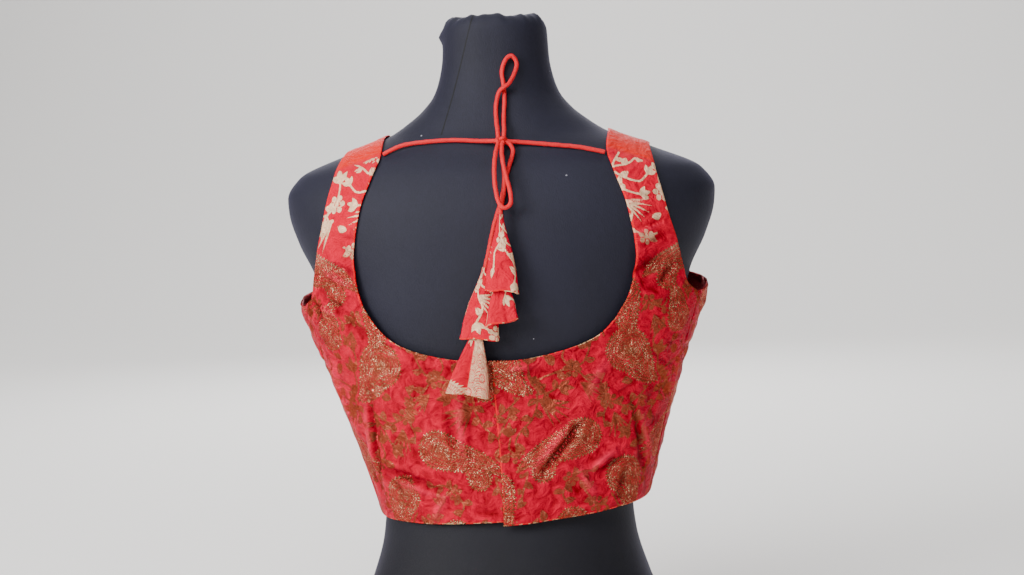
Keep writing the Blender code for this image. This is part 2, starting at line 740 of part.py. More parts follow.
def make_cone_pair(pair):
    """The upper cone, and the lower one that hangs from the top of the upper one's hollow."""
    tip, upper_foot, lower_foot = (np.array(p) + [0, AXIS_Y, 0]
                                   for p in (pair.tip, pair.upper_foot, pair.lower_foot))
    length = np.linalg.norm(upper_foot - tip)
    lower_top = tip + (upper_foot - tip) * (UPPER_HOLLOW + SEAM_GAP / length)
    make_cone(pair.name + "_upper", tip, upper_foot, pair.upper_half,
              UPPER_FLARE, UPPER_HOLLOW, pair.folds, pair.turn)
    make_cone(pair.name + "_lower", lower_top, lower_foot, pair.lower_half,
              LOWER_FLARE, LOWER_HOLLOW, pair.folds, -pair.turn)


make_form()
make_back("blouse_back_left", 1, -UNDERLAP, 0.0, no_lift)
make_back("blouse_back_right", -1, -OVERLAP, OVERLAP_DROP, overlap_lift)
make_front()
for cord_name, cord_route in CORD_ROUTES.items():
    make_cord(cord_name, cord_route)
make_knot()
for cone_pair in CONE_PAIRS:
    make_cone_pair(cone_pair)
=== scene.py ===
import math

import bmesh
import bpy
import numpy as np
from mathutils import Matrix, Vector


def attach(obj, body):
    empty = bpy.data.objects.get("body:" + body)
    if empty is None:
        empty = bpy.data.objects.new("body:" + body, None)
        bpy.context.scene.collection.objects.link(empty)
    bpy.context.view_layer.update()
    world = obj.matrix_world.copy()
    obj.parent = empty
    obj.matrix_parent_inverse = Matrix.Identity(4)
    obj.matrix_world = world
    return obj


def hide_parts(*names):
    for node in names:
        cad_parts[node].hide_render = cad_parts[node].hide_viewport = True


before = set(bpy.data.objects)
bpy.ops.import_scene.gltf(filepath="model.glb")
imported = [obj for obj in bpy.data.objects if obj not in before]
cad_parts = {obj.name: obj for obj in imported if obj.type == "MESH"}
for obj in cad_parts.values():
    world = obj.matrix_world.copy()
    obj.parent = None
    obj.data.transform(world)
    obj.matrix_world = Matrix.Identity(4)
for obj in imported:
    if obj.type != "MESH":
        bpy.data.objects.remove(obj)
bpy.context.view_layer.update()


# Camera: it stands behind the dress form, a little to the wearer's right and at
# neck height, tilted slightly down and to one side, as a hand-held camera is.
AXIS_Y = 0.0098  # the torso's axis behind the row's origin
CAMERA_DISTANCE = 1.5
CAMERA_HEIGHT = 0.490
CAMERA_TURN = math.radians(5.0)  # to the wearer's right
CAMERA_PITCH = math.radians(4.8)  # down
CAMERA_ROLL = math.radians(-1.8)
PHOTO_WIDTH = 1024  # pixels
PHOTO_FOCUS = 1635  # focal length in the same pixels
PHOTO_AXIS = 503  # column that the camera points at
SENSOR = 36.0  # mm

ahead = Vector((math.sin(CAMERA_TURN) * math.cos(CAMERA_PITCH),
                -math.cos(CAMERA_TURN) * math.cos(CAMERA_PITCH),
                -math.sin(CAMERA_PITCH)))
level_right = ahead.cross(Vector((0, 0, 1))).normalized()
level_up = level_right.cross(ahead)
right = level_right * math.cos(CAMERA_ROLL) + level_up * math.sin(CAMERA_ROLL)
above = level_up * math.cos(CAMERA_ROLL) - level_right * math.sin(CAMERA_ROLL)
camera_data = bpy.data.cameras.new("photo_view")
camera_data.sensor_width = SENSOR
camera_data.lens = PHOTO_FOCUS / PHOTO_WIDTH * SENSOR
camera_data.shift_x = (PHOTO_WIDTH / 2 - PHOTO_AXIS) / PHOTO_WIDTH
camera = bpy.data.objects.new("photo_view", camera_data)
bpy.context.scene.collection.objects.link(camera)
camera.matrix_world = Matrix.Translation((
    -CAMERA_DISTANCE * math.sin(CAMERA_TURN),
    AXIS_Y + CAMERA_DISTANCE * math.cos(CAMERA_TURN),
    CAMERA_HEIGHT)) @ Matrix((right, above, -ahead)).transposed().to_4x4()
bpy.context.scene.camera = camera


# Tie cord (dori): a bias-cut tube of red crepe, turned right side out and drawn
# thin. One length leaves each strap, and the two are tied in a bow whose tails
# are sewn into hanging cones. It is soft, so it is round, slightly uneven and matte.
CORD_DIAMETER = 0.0038
CORD_STEP = 0.0011  # between two rings of the tube
CORD_SIDES = 16
CORD_RIPPLE = 0.035  # of the radius: the tube was turned by hand
CURVE_STEPS = 24  # points worked out between two guides of a smooth line

CORD_ROUTES = {  # mm, with the depth counted from the torso's axis
    "cord_left": [
        (97.4, 58.7, 489.5), (84.1, 59.2, 495.5), (73.2, 60, 498), (52.1, 63.2, 499.7),
        (31.4, 66.2, 500), (11, 69, 498.6), (-6, 73.8, 498.1),
    ],
    "cord_right": [
        (-98.4, 64, 485.6), (-86, 65, 488.5), (-73.8, 66, 491), (-47.4, 68.4, 494.1),
        (-30.1, 69.4, 496), (-20, 71.5, 497), (-11, 73.8, 497.9),
    ],
    "bow_loop_up": [
        (-11.2, 73.5, 500), (-11.4, 69.5, 507.5), (-10.8, 61.4, 518), (-11.3, 54.8, 535),
        (-10.8, 52.6, 546.2), (-9.4, 50.1, 558.6), (-12.4, 48.5, 568.5), (-18, 46.7, 572.7),
        (-22.3, 46.2, 566.2), (-20.8, 49.4, 558.2), (-16.5, 55.2, 549.1), (-11.9, 57.6, 545.1),
        (-7, 57.4, 540.9), (-4, 57.4, 529.7), (-4.2, 62.5, 517.4), (-5.6, 69.5, 507.5),
        (-6.4, 73.5, 500),
    ],
    "bow_loop_down": [
        (-6.4, 76.5, 496), (-4.6, 88, 486), (-4.1, 96.8, 473.3), (-5.1, 103, 458.9), (-8.2, 108.2, 446),
        (-13, 109.4, 441.2), (-18.2, 108, 444.8), (-17.8, 104.4, 454.3), (-15.2, 99.9, 464.5),
        (-11.8, 94.6, 478.2), (-10.2, 87, 487), (-9.8, 76.5, 496),
    ],
    "tail_long": [
        (-11, 73.5, 497.5), (-16, 74, 495.2), (-19, 76.5, 490), (-18.2, 80, 483.5), (-15.8, 83.4, 476),
        (-12.7, 89.4, 463.9), (-9.4, 95.6, 447.8), (-2.6, 100.6, 425.2), (2.6, 106.6, 401),
        (4.6, 109.4, 391.7), (10.1, 107.9, 347.2),
    ],
    "tail_short": [
        (-8.8, 73.8, 497), (-9.1, 76.4, 489), (-10.4, 83.2, 482.2), (-12.2, 92.5, 468.7),
        (-11.7, 98.2, 454.3), (-10, 100.5, 445), (-9.4, 104, 439.5), (-9.2, 106.8, 436.6),
        (-9.1, 112.8, 406),
    ],
}
KNOT_CENTRE = np.array([-0.0089, 0.0740, 0.4980]) + [0, AXIS_Y, 0]


def run_of(line):
    """The length along a line of points, at each of them."""
    return np.concatenate([[0], np.cumsum(np.linalg.norm(np.diff(line, axis=0), axis=1))])


def even_points(line, count):
    """This many even points along a line of points, ends included."""
    run = run_of(line)
    at = np.linspace(0, run[-1], count)
    return np.stack([np.interp(at, run, line[:, k]) for k in range(3)], axis=1)


def smooth_line(guides, step):
    """Evenly spaced points on a smooth curve through the guides, ends included."""
    g = np.array(guides, float)
    g = np.vstack([2 * g[0] - g[1], g, 2 * g[-1] - g[-2]])
    t = np.linspace(0, 1, CURVE_STEPS, endpoint=False)[:, None]
    dense = [0.5 * (2 * b + (c - a) * t + (2 * a - 5 * b + 4 * c - d) * t**2
                    + (3 * b - a - 3 * c + d) * t**3)
             for a, b, c, d in zip(g, g[1:], g[2:], g[3:])]
    dense = np.vstack(dense + [g[-2:-1]])
    return even_points(dense, max(round(run_of(dense)[-1] / step), 2) + 1)


def add_piece(name, points, faces, uv=None, values=None):
    """A mesh object from points and faces, with a UV point and named values for each point."""
    mesh = bpy.data.meshes.new(name)
    mesh.from_pydata(np.asarray(points).tolist(), [], faces)
    if uv is not None:
        corners = np.zeros(len(mesh.loops), int)
        mesh.loops.foreach_get("vertex_index", corners)
        mesh.uv_layers.new(name="cut").data.foreach_set("uv", np.asarray(uv, float)[corners].ravel())
    for key, value in (values or {}).items():
        layer = mesh.attributes.new(key, "FLOAT", "POINT")
        layer.data.foreach_set("value", np.asarray(value, float).ravel())
    mesh.shade_smooth()
    piece = bpy.data.objects.new(name, mesh)
    bpy.context.scene.collection.objects.link(piece)
    return piece


def ring_faces(count, sides, first=0):
    """The four-sided faces between rings of points, each ring with this many sides."""
    here = first + np.arange(count * sides).reshape(count, sides)
    beside = np.roll(here, -1, axis=1)
    return np.stack([here[:-1], beside[:-1], beside[1:], here[1:]], axis=2).reshape(-1, 4).tolist()


def closed_tube_faces(count, sides):
    """The faces of a tube of rings, with one face over each end."""
    last = (count - 1) * sides
    return ring_faces(count, sides) + [list(range(sides))[::-1], list(range(last, last + sides))]


def tube(name, line, radius):
    """A round tube along the line, closed at both ends, its UV in metres round and along."""
    ahead_of = np.gradient(line, axis=0)
    ahead_of /= np.linalg.norm(ahead_of, axis=1)[:, None]
    side = np.cross(ahead_of[0], [0.3, 0.2, 0.9])
    turn = np.linspace(0, 2 * math.pi, CORD_SIDES, endpoint=False)
    points, uv = [], []
    for place, way, at in zip(line, ahead_of, run_of(line)):
        side = side - way * (side @ way)
        side /= np.linalg.norm(side)
        other = np.cross(way, side)
        uneven = 1 + CORD_RIPPLE * (np.sin(at * 610 + 1.7 * np.sin(turn + at * 90))
                                    + 0.6 * np.sin(2 * turn + at * 1370))
        reach = (radius * uneven)[:, None]
        points.append(place + reach * (np.cos(turn)[:, None] * side + np.sin(turn)[:, None] * other))
        uv.append(np.stack([turn * radius, np.full(CORD_SIDES, at)], axis=1))
    return add_piece(name, np.vstack(points), closed_tube_faces(len(line), CORD_SIDES), np.vstack(uv))


def linear(hex_colour):
    """An sRGB hex colour as linear red, green, blue and alpha."""
    parts = [int(hex_colour[k:k + 2], 16) / 255 for k in (1, 3, 5)]
    return [p / 12.92 if p <= 0.04045 else ((p + 0.055) / 1.055)**2.4 for p in parts] + [1.0]


def new_material(name):
    """An empty material and its tree, to which the next nodes are added."""
    made = bpy.data.materials.new(name)
    made.use_nodes = True
    made.node_tree.nodes.clear()
    return made, made.node_tree


def node(kind, output, settings):
    """An output of a new node in the current tree. A setting is one of the node's properties,
    a value or hex colour for an input, or another node's output, which is linked to it."""
    made = tree.nodes.new("ShaderNode" + kind)
    for key, value in settings.items():
        if isinstance(key, str) and hasattr(made, key):
            setattr(made, key, value)
        elif hasattr(value, "links"):
            tree.links.new(value, made.inputs[key])
        else:
            made.inputs[key].default_value = linear(value) if isinstance(value, str) else value
    return made.outputs[output] if output else None


# Polyester crepe, woven and piece-dyed: no gloss, a soft bright edge from its
# fuzz, and a fine pebbled grain that runs round the tube on the bias.
crepe, tree = new_material("red_crepe_cord")
cut = node("UVMap", "UV", {"uv_map": "cut"})
bias = node("Mapping", "Vector", {"Rotation": (0, 0, math.radians(38)), "Vector": cut})
grain = node("TexWave", "Fac", {"Scale": 320, "Distortion": 3.5, "Detail": 2, "Detail Scale": 3,
                                "Vector": bias})
puckers = node("TexNoise", "Fac", {"Vector": cut, "Scale": 420, "Detail": 3, "Roughness": 0.6})
node("OutputMaterial", "", {
    "Surface": node("BsdfPrincipled", "BSDF", {
        "Base Color": node("Mix", "Result", {
            "data_type": "RGBA", "Factor": puckers, "A": "#C00A14", "B": "#EE1E2C"}), "Roughness": 0.62,
        "Sheen Weight": 0.12, "Sheen Roughness": 0.4, "Sheen Tint": "#FF5A50",
        "Specular IOR Level": 0.25,
        "Normal": node("Bump", "Normal", {
            "Height": puckers, "Strength": 0.5, "Distance": 0.0005,
            "Normal": node("Bump", "Normal", {"Height": grain, "Strength": 0.45, "Distance": 0.00025})})})})

for cord_name, route in CORD_ROUTES.items():
    cord_line = smooth_line(np.array(route) / 1000 + [0, AXIS_Y, 0], CORD_STEP)
    dori = tube("dori_" + cord_name, cord_line, CORD_DIAMETER / 2)
    dori.data.materials.append(crepe)
    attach(dori, "root")
    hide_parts(cord_name)


# Bow knot: where the two lengths are tied, the cord passes round the bow and back
# through itself. It is one tight knot of the same crepe tube, a little flattened.
KNOT_REACH = np.array([0.0030, 0.0030, 0.0026])
KNOT_CORD = 0.0034
KNOT_STEPS = 150
turns = np.linspace(0, 2 * math.pi, KNOT_STEPS)
knot_line = KNOT_CENTRE + np.stack([
    (np.sin(turns) + 2 * np.sin(2 * turns)) / 2.2 * KNOT_REACH[0],
    np.sin(3 * turns) / 1.1 * KNOT_REACH[1],
    (np.cos(turns) - 2 * np.cos(2 * turns)) / 2.2 * KNOT_REACH[2]], axis=1)
knot = tube("dori_knot", knot_line, KNOT_CORD / 2)
knot.data.materials.append(crepe)
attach(knot, "root")
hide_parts("bow_knot")


# Dress form: a limbless display torso, moulded in one with its neck stub and
# shoulder caps, under a stretched cover of black knit whose raw edge is turned
# over the top of the neck.
SQUARENESS = 2.3  # exponent of every level section
BUST_REACH = 0.078  # from the centre to the fullest point
BUST_HEIGHT = 0.312
BUST_WIDTH = 0.046
BUST_RISE = 0.024
LEVEL_BELOW = 0.410  # below this height a point is seated without rising
FREE_ABOVE = 0.460  # above this one it slides square to the surface
SHOULDER_HEIGHT = 0.455  # the shoulder's ridge lies above this
SLOPE_STEP = 0.0008  # over which the surface's slope is measured
SEATING_ROUNDS = 10  # until a point lies on the surface

FORM_SECTIONS = [  # mm: height, half width, back depth, front depth
    (0, 146, 103, 98), (12, 150, 106, 101), (40, 152, 107, 102), (95, 130, 97, 93), (140, 117, 86, 86),
    (168, 114.5, 81, 85), (204, 120, 82, 89), (235, 129, 85, 94), (266, 139, 89, 99),
    (300, 150, 94, 103), (328, 158, 98, 105), (357, 166, 101, 105), (380, 172, 101.5, 103),
    (410, 186, 100, 98), (438, 194.5, 96, 92), (451, 195.4, 92, 88), (470, 183.5, 84, 80),
    (490, 138.5, 71, 69), (505, 99.5, 62, 62.5), (518, 79.5, 57.5, 60), (527, 68.5, 54.5, 58.5),
    (541, 57.2, 50.5, 56.5), (556, 51.7, 47.5, 55), (572, 48.6, 45, 54), (600, 46.8, 44, 53),
    (609, 44, 41.5, 50), (612, 39, 37, 45),
]


def smooth_column(xs, ys, at):
    """A smooth curve through the points that never overshoots them."""
    steps = np.diff(ys) / np.diff(xs)
    before, after = steps[:-1], steps[1:]
    same = before * after > 0
    middle = np.where(same, 2 * before * after / np.where(same, before + after, 1), 0)
    slopes = np.concatenate([steps[:1], middle, steps[-1:]])
    k = np.clip(np.searchsorted(xs, at) - 1, 0, len(xs) - 2)
    span = xs[k + 1] - xs[k]
    t = np.clip((at - xs[k]) / span, 0.0, 1.0)
    return ((2 * t**3 - 3 * t**2 + 1) * ys[k] + (t**3 - 2 * t**2 + t) * span * slopes[k]
            + (3 * t**2 - 2 * t**3) * ys[k + 1] + (t**3 - t**2) * span * slopes[k + 1])


def ramp(low, high, value):
    """0 below low, 1 above high and smooth between."""
    t = np.clip((np.asarray(value, float) - low) / (high - low), 0.0, 1.0)
    return t * t * (3 - 2 * t)


class Torso:
    """The surface on which (x / half width)^n + (y / depth)^n is 1."""

    def __init__(self, sections):
        columns = np.array(sections) / 1000
        self.heights = np.linspace(columns[0, 0], columns[-1, 0], 1201)
        self.widths, self.backs, self.fronts = (
            smooth_column(columns[:, 0], columns[:, k], self.heights) for k in (1, 2, 3))

    def half_width(self, z):
        return np.interp(z, self.heights, self.widths)

    def depth(self, x, z, behind):
        across = np.exp(-((np.abs(x) - BUST_REACH) / BUST_WIDTH)**2)
        along = np.exp(-((z - BUST_HEIGHT) / BUST_WIDTH)**2)
        front = np.interp(z, self.heights, self.fronts) + BUST_RISE * across * along
        return np.where(behind, np.interp(z, self.heights, self.backs), front)

    def level(self, p):
        x, y, z = p[:, 0], p[:, 1] - AXIS_Y, p[:, 2]
        side = np.abs(x) / self.half_width(z)
        deep = np.abs(y) / self.depth(x, z, y > 0)
        return side**SQUARENESS + deep**SQUARENESS - 1

    def gradient(self, p):
        return np.stack([(self.level(p + axis) - self.level(p - axis)) / (2 * SLOPE_STEP)
                         for axis in np.eye(3) * SLOPE_STEP], axis=1)

    def normals(self, p):
        g = self.gradient(p)
        return g / np.linalg.norm(g, axis=1)[:, None]

    def seated(self, points):
        """The points moved onto the surface."""
        p = np.array(points, float)
        for _ in range(SEATING_ROUNDS):
            g = self.gradient(p)
            way = g.copy()
            way[:, 2] *= ramp(LEVEL_BELOW, FREE_ABOVE, p[:, 2])
            p = p - (self.level(p) / (g * way).sum(axis=1))[:, None] * way
        return p

    def on_side(self, x, z, behind):
        """The point of the back or the front at this place."""
        side = min(abs(x) / float(self.half_width(z)), 1.0)
        y = float(self.depth(x, z, behind)) * (1 - side**SQUARENESS)**(1 / SQUARENESS)
        return np.array([x, AXIS_Y + (y if behind else -y), z])

    def ridge(self, x):
        """The top of the shoulder, where the back meets the front."""
        rows = self.heights > SHOULDER_HEIGHT
        return np.array([x, AXIS_Y, np.interp(-abs(x), -self.widths[rows], self.heights[rows])])


FORM = Torso(FORM_SECTIONS)
FORM_RINGS = 200
FORM_SIDES = 168
CAP_RINGS = 8  # rings that close the neck and the base
NECK_FRAY = 0.0022  # height of the raw edge's waves
NECK_HOLLOW = 0.0012  # the neck's top sinks by this much in its middle
FOLD_PLACE = 0.5940  # height of the cover's fold at the neck's side
FOLD_HALF = 0.0050  # and its half length
FOLD_OUT = 0.0042
FRAYED = (0.596, 0.609)  # the raw edge waves more and more between these heights

run = run_of(np.stack([FORM.widths, FORM.heights], axis=1))
ring_heights = np.interp(np.linspace(0, run[-1], FORM_RINGS), run, FORM.heights)
turn = np.linspace(0, 2 * math.pi, FORM_SIDES, endpoint=False)
c, s = np.cos(turn), np.sin(turn)
flat_c = np.sign(c) * np.abs(c)**(2 / SQUARENESS)
flat_s = np.sign(s) * np.abs(s)**(2 / SQUARENESS)
rings = []
for z in ring_heights:
    x = FORM.half_width(z) * flat_c
    y = AXIS_Y + FORM.depth(x, np.full(FORM_SIDES, z), s > 0) * flat_s
    rings.append(np.stack([x, y, np.full(FORM_SIDES, z)], axis=1))
rings = np.array(rings)
near_top = ramp(*FRAYED, rings[:, :, 2])
fray = (np.sin(5 * turn + 0.6) + 0.7 * np.sin(11 * turn + 2.1) + 0.5 * np.sin(23 * turn)) / 2.2
rings[:, :, 2] += near_top * NECK_FRAY * (fray - 1.0)
at_fold = np.exp(-((rings[:, :, 2] - FOLD_PLACE) / FOLD_HALF)**2) * np.clip(c, 0, 1)[None, :]**24
rings[:, :, 0] += FOLD_OUT * at_fold
centre_top = rings[-1].mean(axis=0)
caps_low = [rings[0] * [k, k, 1] + [0, AXIS_Y * (1 - k), 0]
            for k in np.linspace(0.02, 1, CAP_RINGS, endpoint=False)]
caps_high = [centre_top + (rings[-1] - centre_top) * k - [0, 0, NECK_HOLLOW * (1 - k)]
             for k in np.linspace(1, 0.02, CAP_RINGS + 1)[1:]]
rings = np.concatenate([caps_low, rings, caps_high])
form_cover = add_piece("form_cover", rings.reshape(-1, 3), closed_tube_faces(len(rings), FORM_SIDES))

# Polyester-elastane jersey, dyed black: it is slightly blue, matte with a soft
# sheen at grazing angles, shows fine wales and holds pale lint.
jersey, tree = new_material("black_jersey_cover")
where = node("TexCoord", "Object", {})
wales = node("Mapping", "Vector", {"Scale": (1, 1, 0.45), "Vector": where})
knit = node("TexVoronoi", "Distance", {"Scale": 900, "Vector": wales})
fuzz = node("TexNoise", "Fac", {"Vector": where, "Scale": 260, "Detail": 4, "Roughness": 0.7})
blend = node("Math", "Value", {
    "operation": "ADD", 0: node("Math", "Value", {"operation": "MULTIPLY_ADD", 0: fuzz, 1: 0.5, 2: 0.1}),
    1: node("TexNoise", "Fac", {"Vector": where, "Scale": 9, "Detail": 3})})
height = node("SeparateXYZ", "Z", {"Vector": where})
across, behind = height.node.outputs["X"], height.node.outputs["Y"]
# Painted light: the black dye varies at random, and is painted lighter towards the top of the form, where
# the light falls.
painted_light_above = node("MapRange", "Result", {"From Min": 0.05, "From Max": 0.5, "To Min": 0.1, "Value": height})
dye_with_painted_light = node("Mix", "Result", {
    "data_type": "RGBA", "Factor": node("Math", "Value", {"operation": "MULTIPLY", 0: blend, 1: painted_light_above}),
    "A": "#08080C", "B": "#1C1C2C"})
lint_cells = node("TexVoronoi", "Distance", {"Scale": 62, "Vector": where})
lint_pick = node("SeparateColor", "Red", {"Color": lint_cells.node.outputs["Color"]})
lint = node("Math", "Value", {
    "operation": "MULTIPLY",
    0: node("Math", "Value", {"operation": "LESS_THAN", 0: lint_cells, 1: 0.052}),
    1: node("Math", "Value", {"operation": "GREATER_THAN", 0: lint_pick, 1: 0.9})})
# The cover's own seam runs down the back of the neck, beside the middle, on the
# line x = 0.1872 - 0.281 z.
off_seam = node("Math", "Value", {
    "operation": "ADD",
    0: node("Math", "Value", {"operation": "MULTIPLY_ADD", 0: height, 1: 0.281, 2: -0.1872}), 1: across})
behind_neck = node("Math", "Value", {
    "operation": "MULTIPLY",
    0: node("Math", "Value", {"operation": "GREATER_THAN", 0: height, 1: 0.505}),
    1: node("Math", "Value", {"operation": "GREATER_THAN", 0: behind, 1: 0.0})})
seam = node("Math", "Value", {
    "operation": "MULTIPLY", 0: behind_neck,
    1: node("Math", "Value", {"operation": "COMPARE", 0: off_seam, 1: 0.0, 2: 0.0006})})
node("OutputMaterial", "", {
    "Surface": node("BsdfPrincipled", "BSDF", {
        "Base Color": node("Mix", "Result", {
            "data_type": "RGBA", "Factor": lint,
            "A": node("Mix", "Result", {"data_type": "RGBA", "Factor": seam, "A": dye_with_painted_light, "B": "#060608"}),
            "B": "#8F8E98"}), "Roughness": 0.7, "Sheen Weight": 0.17, "Sheen Roughness": 0.4,
        "Sheen Tint": "#8480B4", "Specular IOR Level": 0.3,
        "Normal": node("Bump", "Normal", {
            "Height": fuzz, "Strength": 0.25, "Distance": 0.0006,
            "Normal": node("Bump", "Normal", {"Height": knit, "Strength": 0.35, "Distance": 0.0003})})})})
form_cover.data.materials.append(jersey)
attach(form_cover, "root")
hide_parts("dress_form")


# Blouse backs: two panels of silk-blend brocade, each cut in one with its strap,
# with a stitched waist dart and all free edges turned in and hemmed. The right
# one laps over the left at the centre, where hidden hooks close them.
SEAM_GAP = 0.0004  # between two pieces at a seam
SKIN_GAP = 0.0009  # between the cloth and the form, at the nearest
CLOTH = 0.0016  # as far as the CAD wall stands off the form
THIN_CLOTH = 0.0011  # the cloth itself
HEM_HEIGHT = 0.165
BACK_NECK_HEIGHT = 0.309
UNDERARM_HEIGHT = 0.357
NECK_EDGE = 0.0994  # half width between the straps on the shoulder
ARM_EDGE = 0.1364  # half width over both straps on the shoulder
OVERLAP = 0.004  # the right back crosses the centre by this much
UNDERLAP = 0.016  # the left back runs on under it by this much
OVERLAP_LIFT = CLOTH + 0.0010
OVERLAP_FLAT = 0.019  # the right back is lifted as far as this from the centre
OVERLAP_BLEND = 0.040  # and lies on the form again from here
OVERLAP_DROP = 0.003  # its lower corner hangs lower than the left back's
HEM_SWAY = 0.006  # the hem has slid this far to the wearer's right
HEM_TILT = 0.060  # and rises towards it, per metre across
UNDERARM_TILT = 0.018
HEM_SIDE_RISE = 0.003
SIDE_SEAM_BACK = 0.040  # the side seam lies this far behind the side at the underarm
SIDE_SEAM_HEM = 0.022  # and this far at the hem
SIDE_SEAM_SPLIT = 0.258  # height on it that faces the lowest point of the back neckline
TURNING = 0.009  # width of the turned-in edge
TURNING_RISE = 0.00035  # which thickens the cloth
EDGE_ROUND = 0.0016  # the edge rounds off over this width
EDGE_THINNING = 0.0005  # and is this much thinner at its end
CLEARING_ROUNDS = 3  # until no cloth comes too near to the form
SOFT_RIPPLE = 0.0006  # the cloth's own unevenness
FLAT_EVERY = 6  # the flat cut is worked out on every sixth row and column
FLAT_ROUNDS = 700  # until its lengths match those of the worn panel

CLOTH_SECTIONS = [  # mm: height, half width, back depth, front depth
    (150, 118, 85, 90), (165, 123.2, 86.5, 91.5), (204, 134.5, 88, 97.5), (235, 143.5, 90, 102),
    (266, 153.5, 93.5, 106), (300, 165, 97.5, 109), (328, 176, 100.5, 110), (357, 185.5, 102.5, 108.5),
    (380, 187.2, 102.8, 105), (410, 189.5, 101, 99), (438, 195, 96.5, 92.5), (451, 195.8, 92.4, 88.4),
    (470, 183.9, 84.4, 80.4), (490, 138.9, 71.4, 69.4), (505, 99.9, 62.4, 62.9),
    (518, 79.9, 57.9, 60.4), (541, 57.6, 50.9, 56.9),
]
BLOUSE = Torso(CLOTH_SECTIONS)

BACK_NECKLINE = [  # mm: half width, height
    (30, 310.5), (57.4, 315.4), (80.6, 323), (94.5, 331.5), (105.1, 343), (117.4, 365.5),
    (122.5, 400.6), (115.7, 441.2), (105, 470), (99, 490),
]
NECK_TURN = 5  # neckline rows up to here lie across, the rest go up the strap
BACK_ARMHOLE = [
    (167, 366.8), (163.3, 382.6), (157.3, 410.6), (150, 436), (141.4, 468), (137, 486),
]
COARSE = 3  # the inner wall has every third row and column
BACK_ROWS = (120, 96, 132)  # rows of the hem part, of the neckline's bottom, of the strap
BACK_COLUMNS = 174
EDGE_STEP = 0.0006  # between two points of a panel's edge

# Folds and creases: half length and half width to where they fade, lean from
# upright towards the side, and rise, which is below nothing for a trough.
LEFT_BACK_FOLDS = [  # mm: x, z, half length, half width, lean in degrees, rise
    (108, 215, 38, 11, 4, 3.4), (70, 203, 30, 12, 62, 2.8), (85, 188, 24, 10, 40, 2.4),
    (158, 345, 20, 10, -35, 2.4), (116.5, 243, 30, 2.4, 3, -2.4), (120.5, 242, 28, 3.4, 3, 1.2),
    (98, 211.5, 15, 3, 68, -1.2), (82, 206, 17, 3.4, 80, -1.3), (79, 198.5, 20, 3.6, 74, 1.1),
    (64, 197.5, 14, 3, 86, -1), (100, 201, 12, 2.8, 40, -0.9), (121, 202, 14, 3, 20, -1),
    (160, 357, 9, 2.4, 38, -1.3), (143, 362.5, 9, 2.2, 74, -1.2), (148, 356, 10, 2.6, 66, 1),
    (131, 348, 13, 3, 52, -0.8), (36, 252, 26, 4.2, -4, 0.8), (28, 249, 24, 3.4, -6, -0.8),
    (45, 246, 20, 3.4, 5, -0.9), (20, 300, 9, 4, 84, 0.8), (128, 420, 12, 2.4, 80, -0.7),
    (133, 392, 13, 2.6, 70, -1), (139, 384, 12, 2.8, 66, 1), (150, 290, 22, 4.4, 12, 1),
    (128, 183, 14, 3.4, 10, -1), (60, 180, 14, 4, -25, 0.9), (66, 302, 18, 4, 78, -0.6),
]
RIGHT_BACK_FOLDS = [
    (108, 215, 38, 11, -4, 2.8), (55, 230, 34, 12, 39, 2.4), (125, 395, 22, 11, 70, 1.8),
    (150, 330, 26, 12, 30, 2.4), (47, 224, 24, 3, 39, -1.8), (62, 240, 12, 2.4, 42, -1.2),
    (40, 228, 22, 3.6, 41, 1.1), (84, 212, 12, 3, 55, 1.3), (90, 206, 12, 2.6, 58, -1.1),
    (116, 226, 30, 3, -3, -1.4), (121, 226, 28, 3.4, -3, 1), (132, 447, 11, 2.2, 76, -1),
    (126, 444, 12, 2.4, 80, 0.8), (134, 432, 9, 2, 72, -0.9), (138, 423, 10, 2.2, 68, -1.2),
    (133, 418, 12, 2.4, 70, 1), (140, 408, 12, 2.6, 64, -1.1), (129, 385, 16, 3.4, 58, -1.3),
    (148, 376, 14, 3, 40, -1), (20, 302, 10, 3, 86, 0.8), (26, 296, 12, 2.8, 84, -0.7),
    (70, 193, 14, 3.6, -20, 1), (100, 186, 16, 3.4, 12, -1), (152, 270, 26, 4, 10, 1.1),
    (86, 290, 18, 4.4, 30, 0.8),
]
NARROW = 0.006  # a fold with less half width is a crease
CREASE = 2.6  # the creases are this much deeper than charted


def fold_rise(points, folds):
    """How far the cloth stands out in its folds at these points, and in its creases alone."""
    rise, narrow = np.zeros(len(points)), np.zeros(len(points))
    for *sizes, lean, height in folds:
        x, z, length, width, height = np.array([*sizes, height]) / 1000
        lean = math.radians(lean)
        dx, dz = points[:, 0] - x, points[:, 2] - z
        along = dz * math.cos(lean) + dx * math.sin(lean)
        across = dx * math.cos(lean) - dz * math.sin(lean)
        across = across + 0.18 * width * np.sin(along / length * 3 + x * 90)
        bulge = height * np.exp(-(along / length)**2 - (across / width)**2)
        if width < NARROW:
            bulge *= CREASE
            narrow += bulge
        rise += bulge
    return rise, narrow


def side_seam(z, shift):
    """The side seam at this height, moved along the cloth towards the back."""
    behind = np.interp(z, [HEM_HEIGHT, UNDERARM_HEIGHT], [SIDE_SEAM_HEM, SIDE_SEAM_BACK])
    y = float(behind) + shift
    deep = y / float(BLOUSE.depth(0, z, True))
    x = float(BLOUSE.half_width(z)) * (1 - deep**SQUARENESS)**(1 / SQUARENESS)
    return np.array([x, AXIS_Y + y, z])


def shoulder_end(half_width, y):
    """An end of the shoulder seam, moved towards the back or the front."""
    return BLOUSE.seated([BLOUSE.ridge(half_width) + np.array([0, y, 0])])[0]


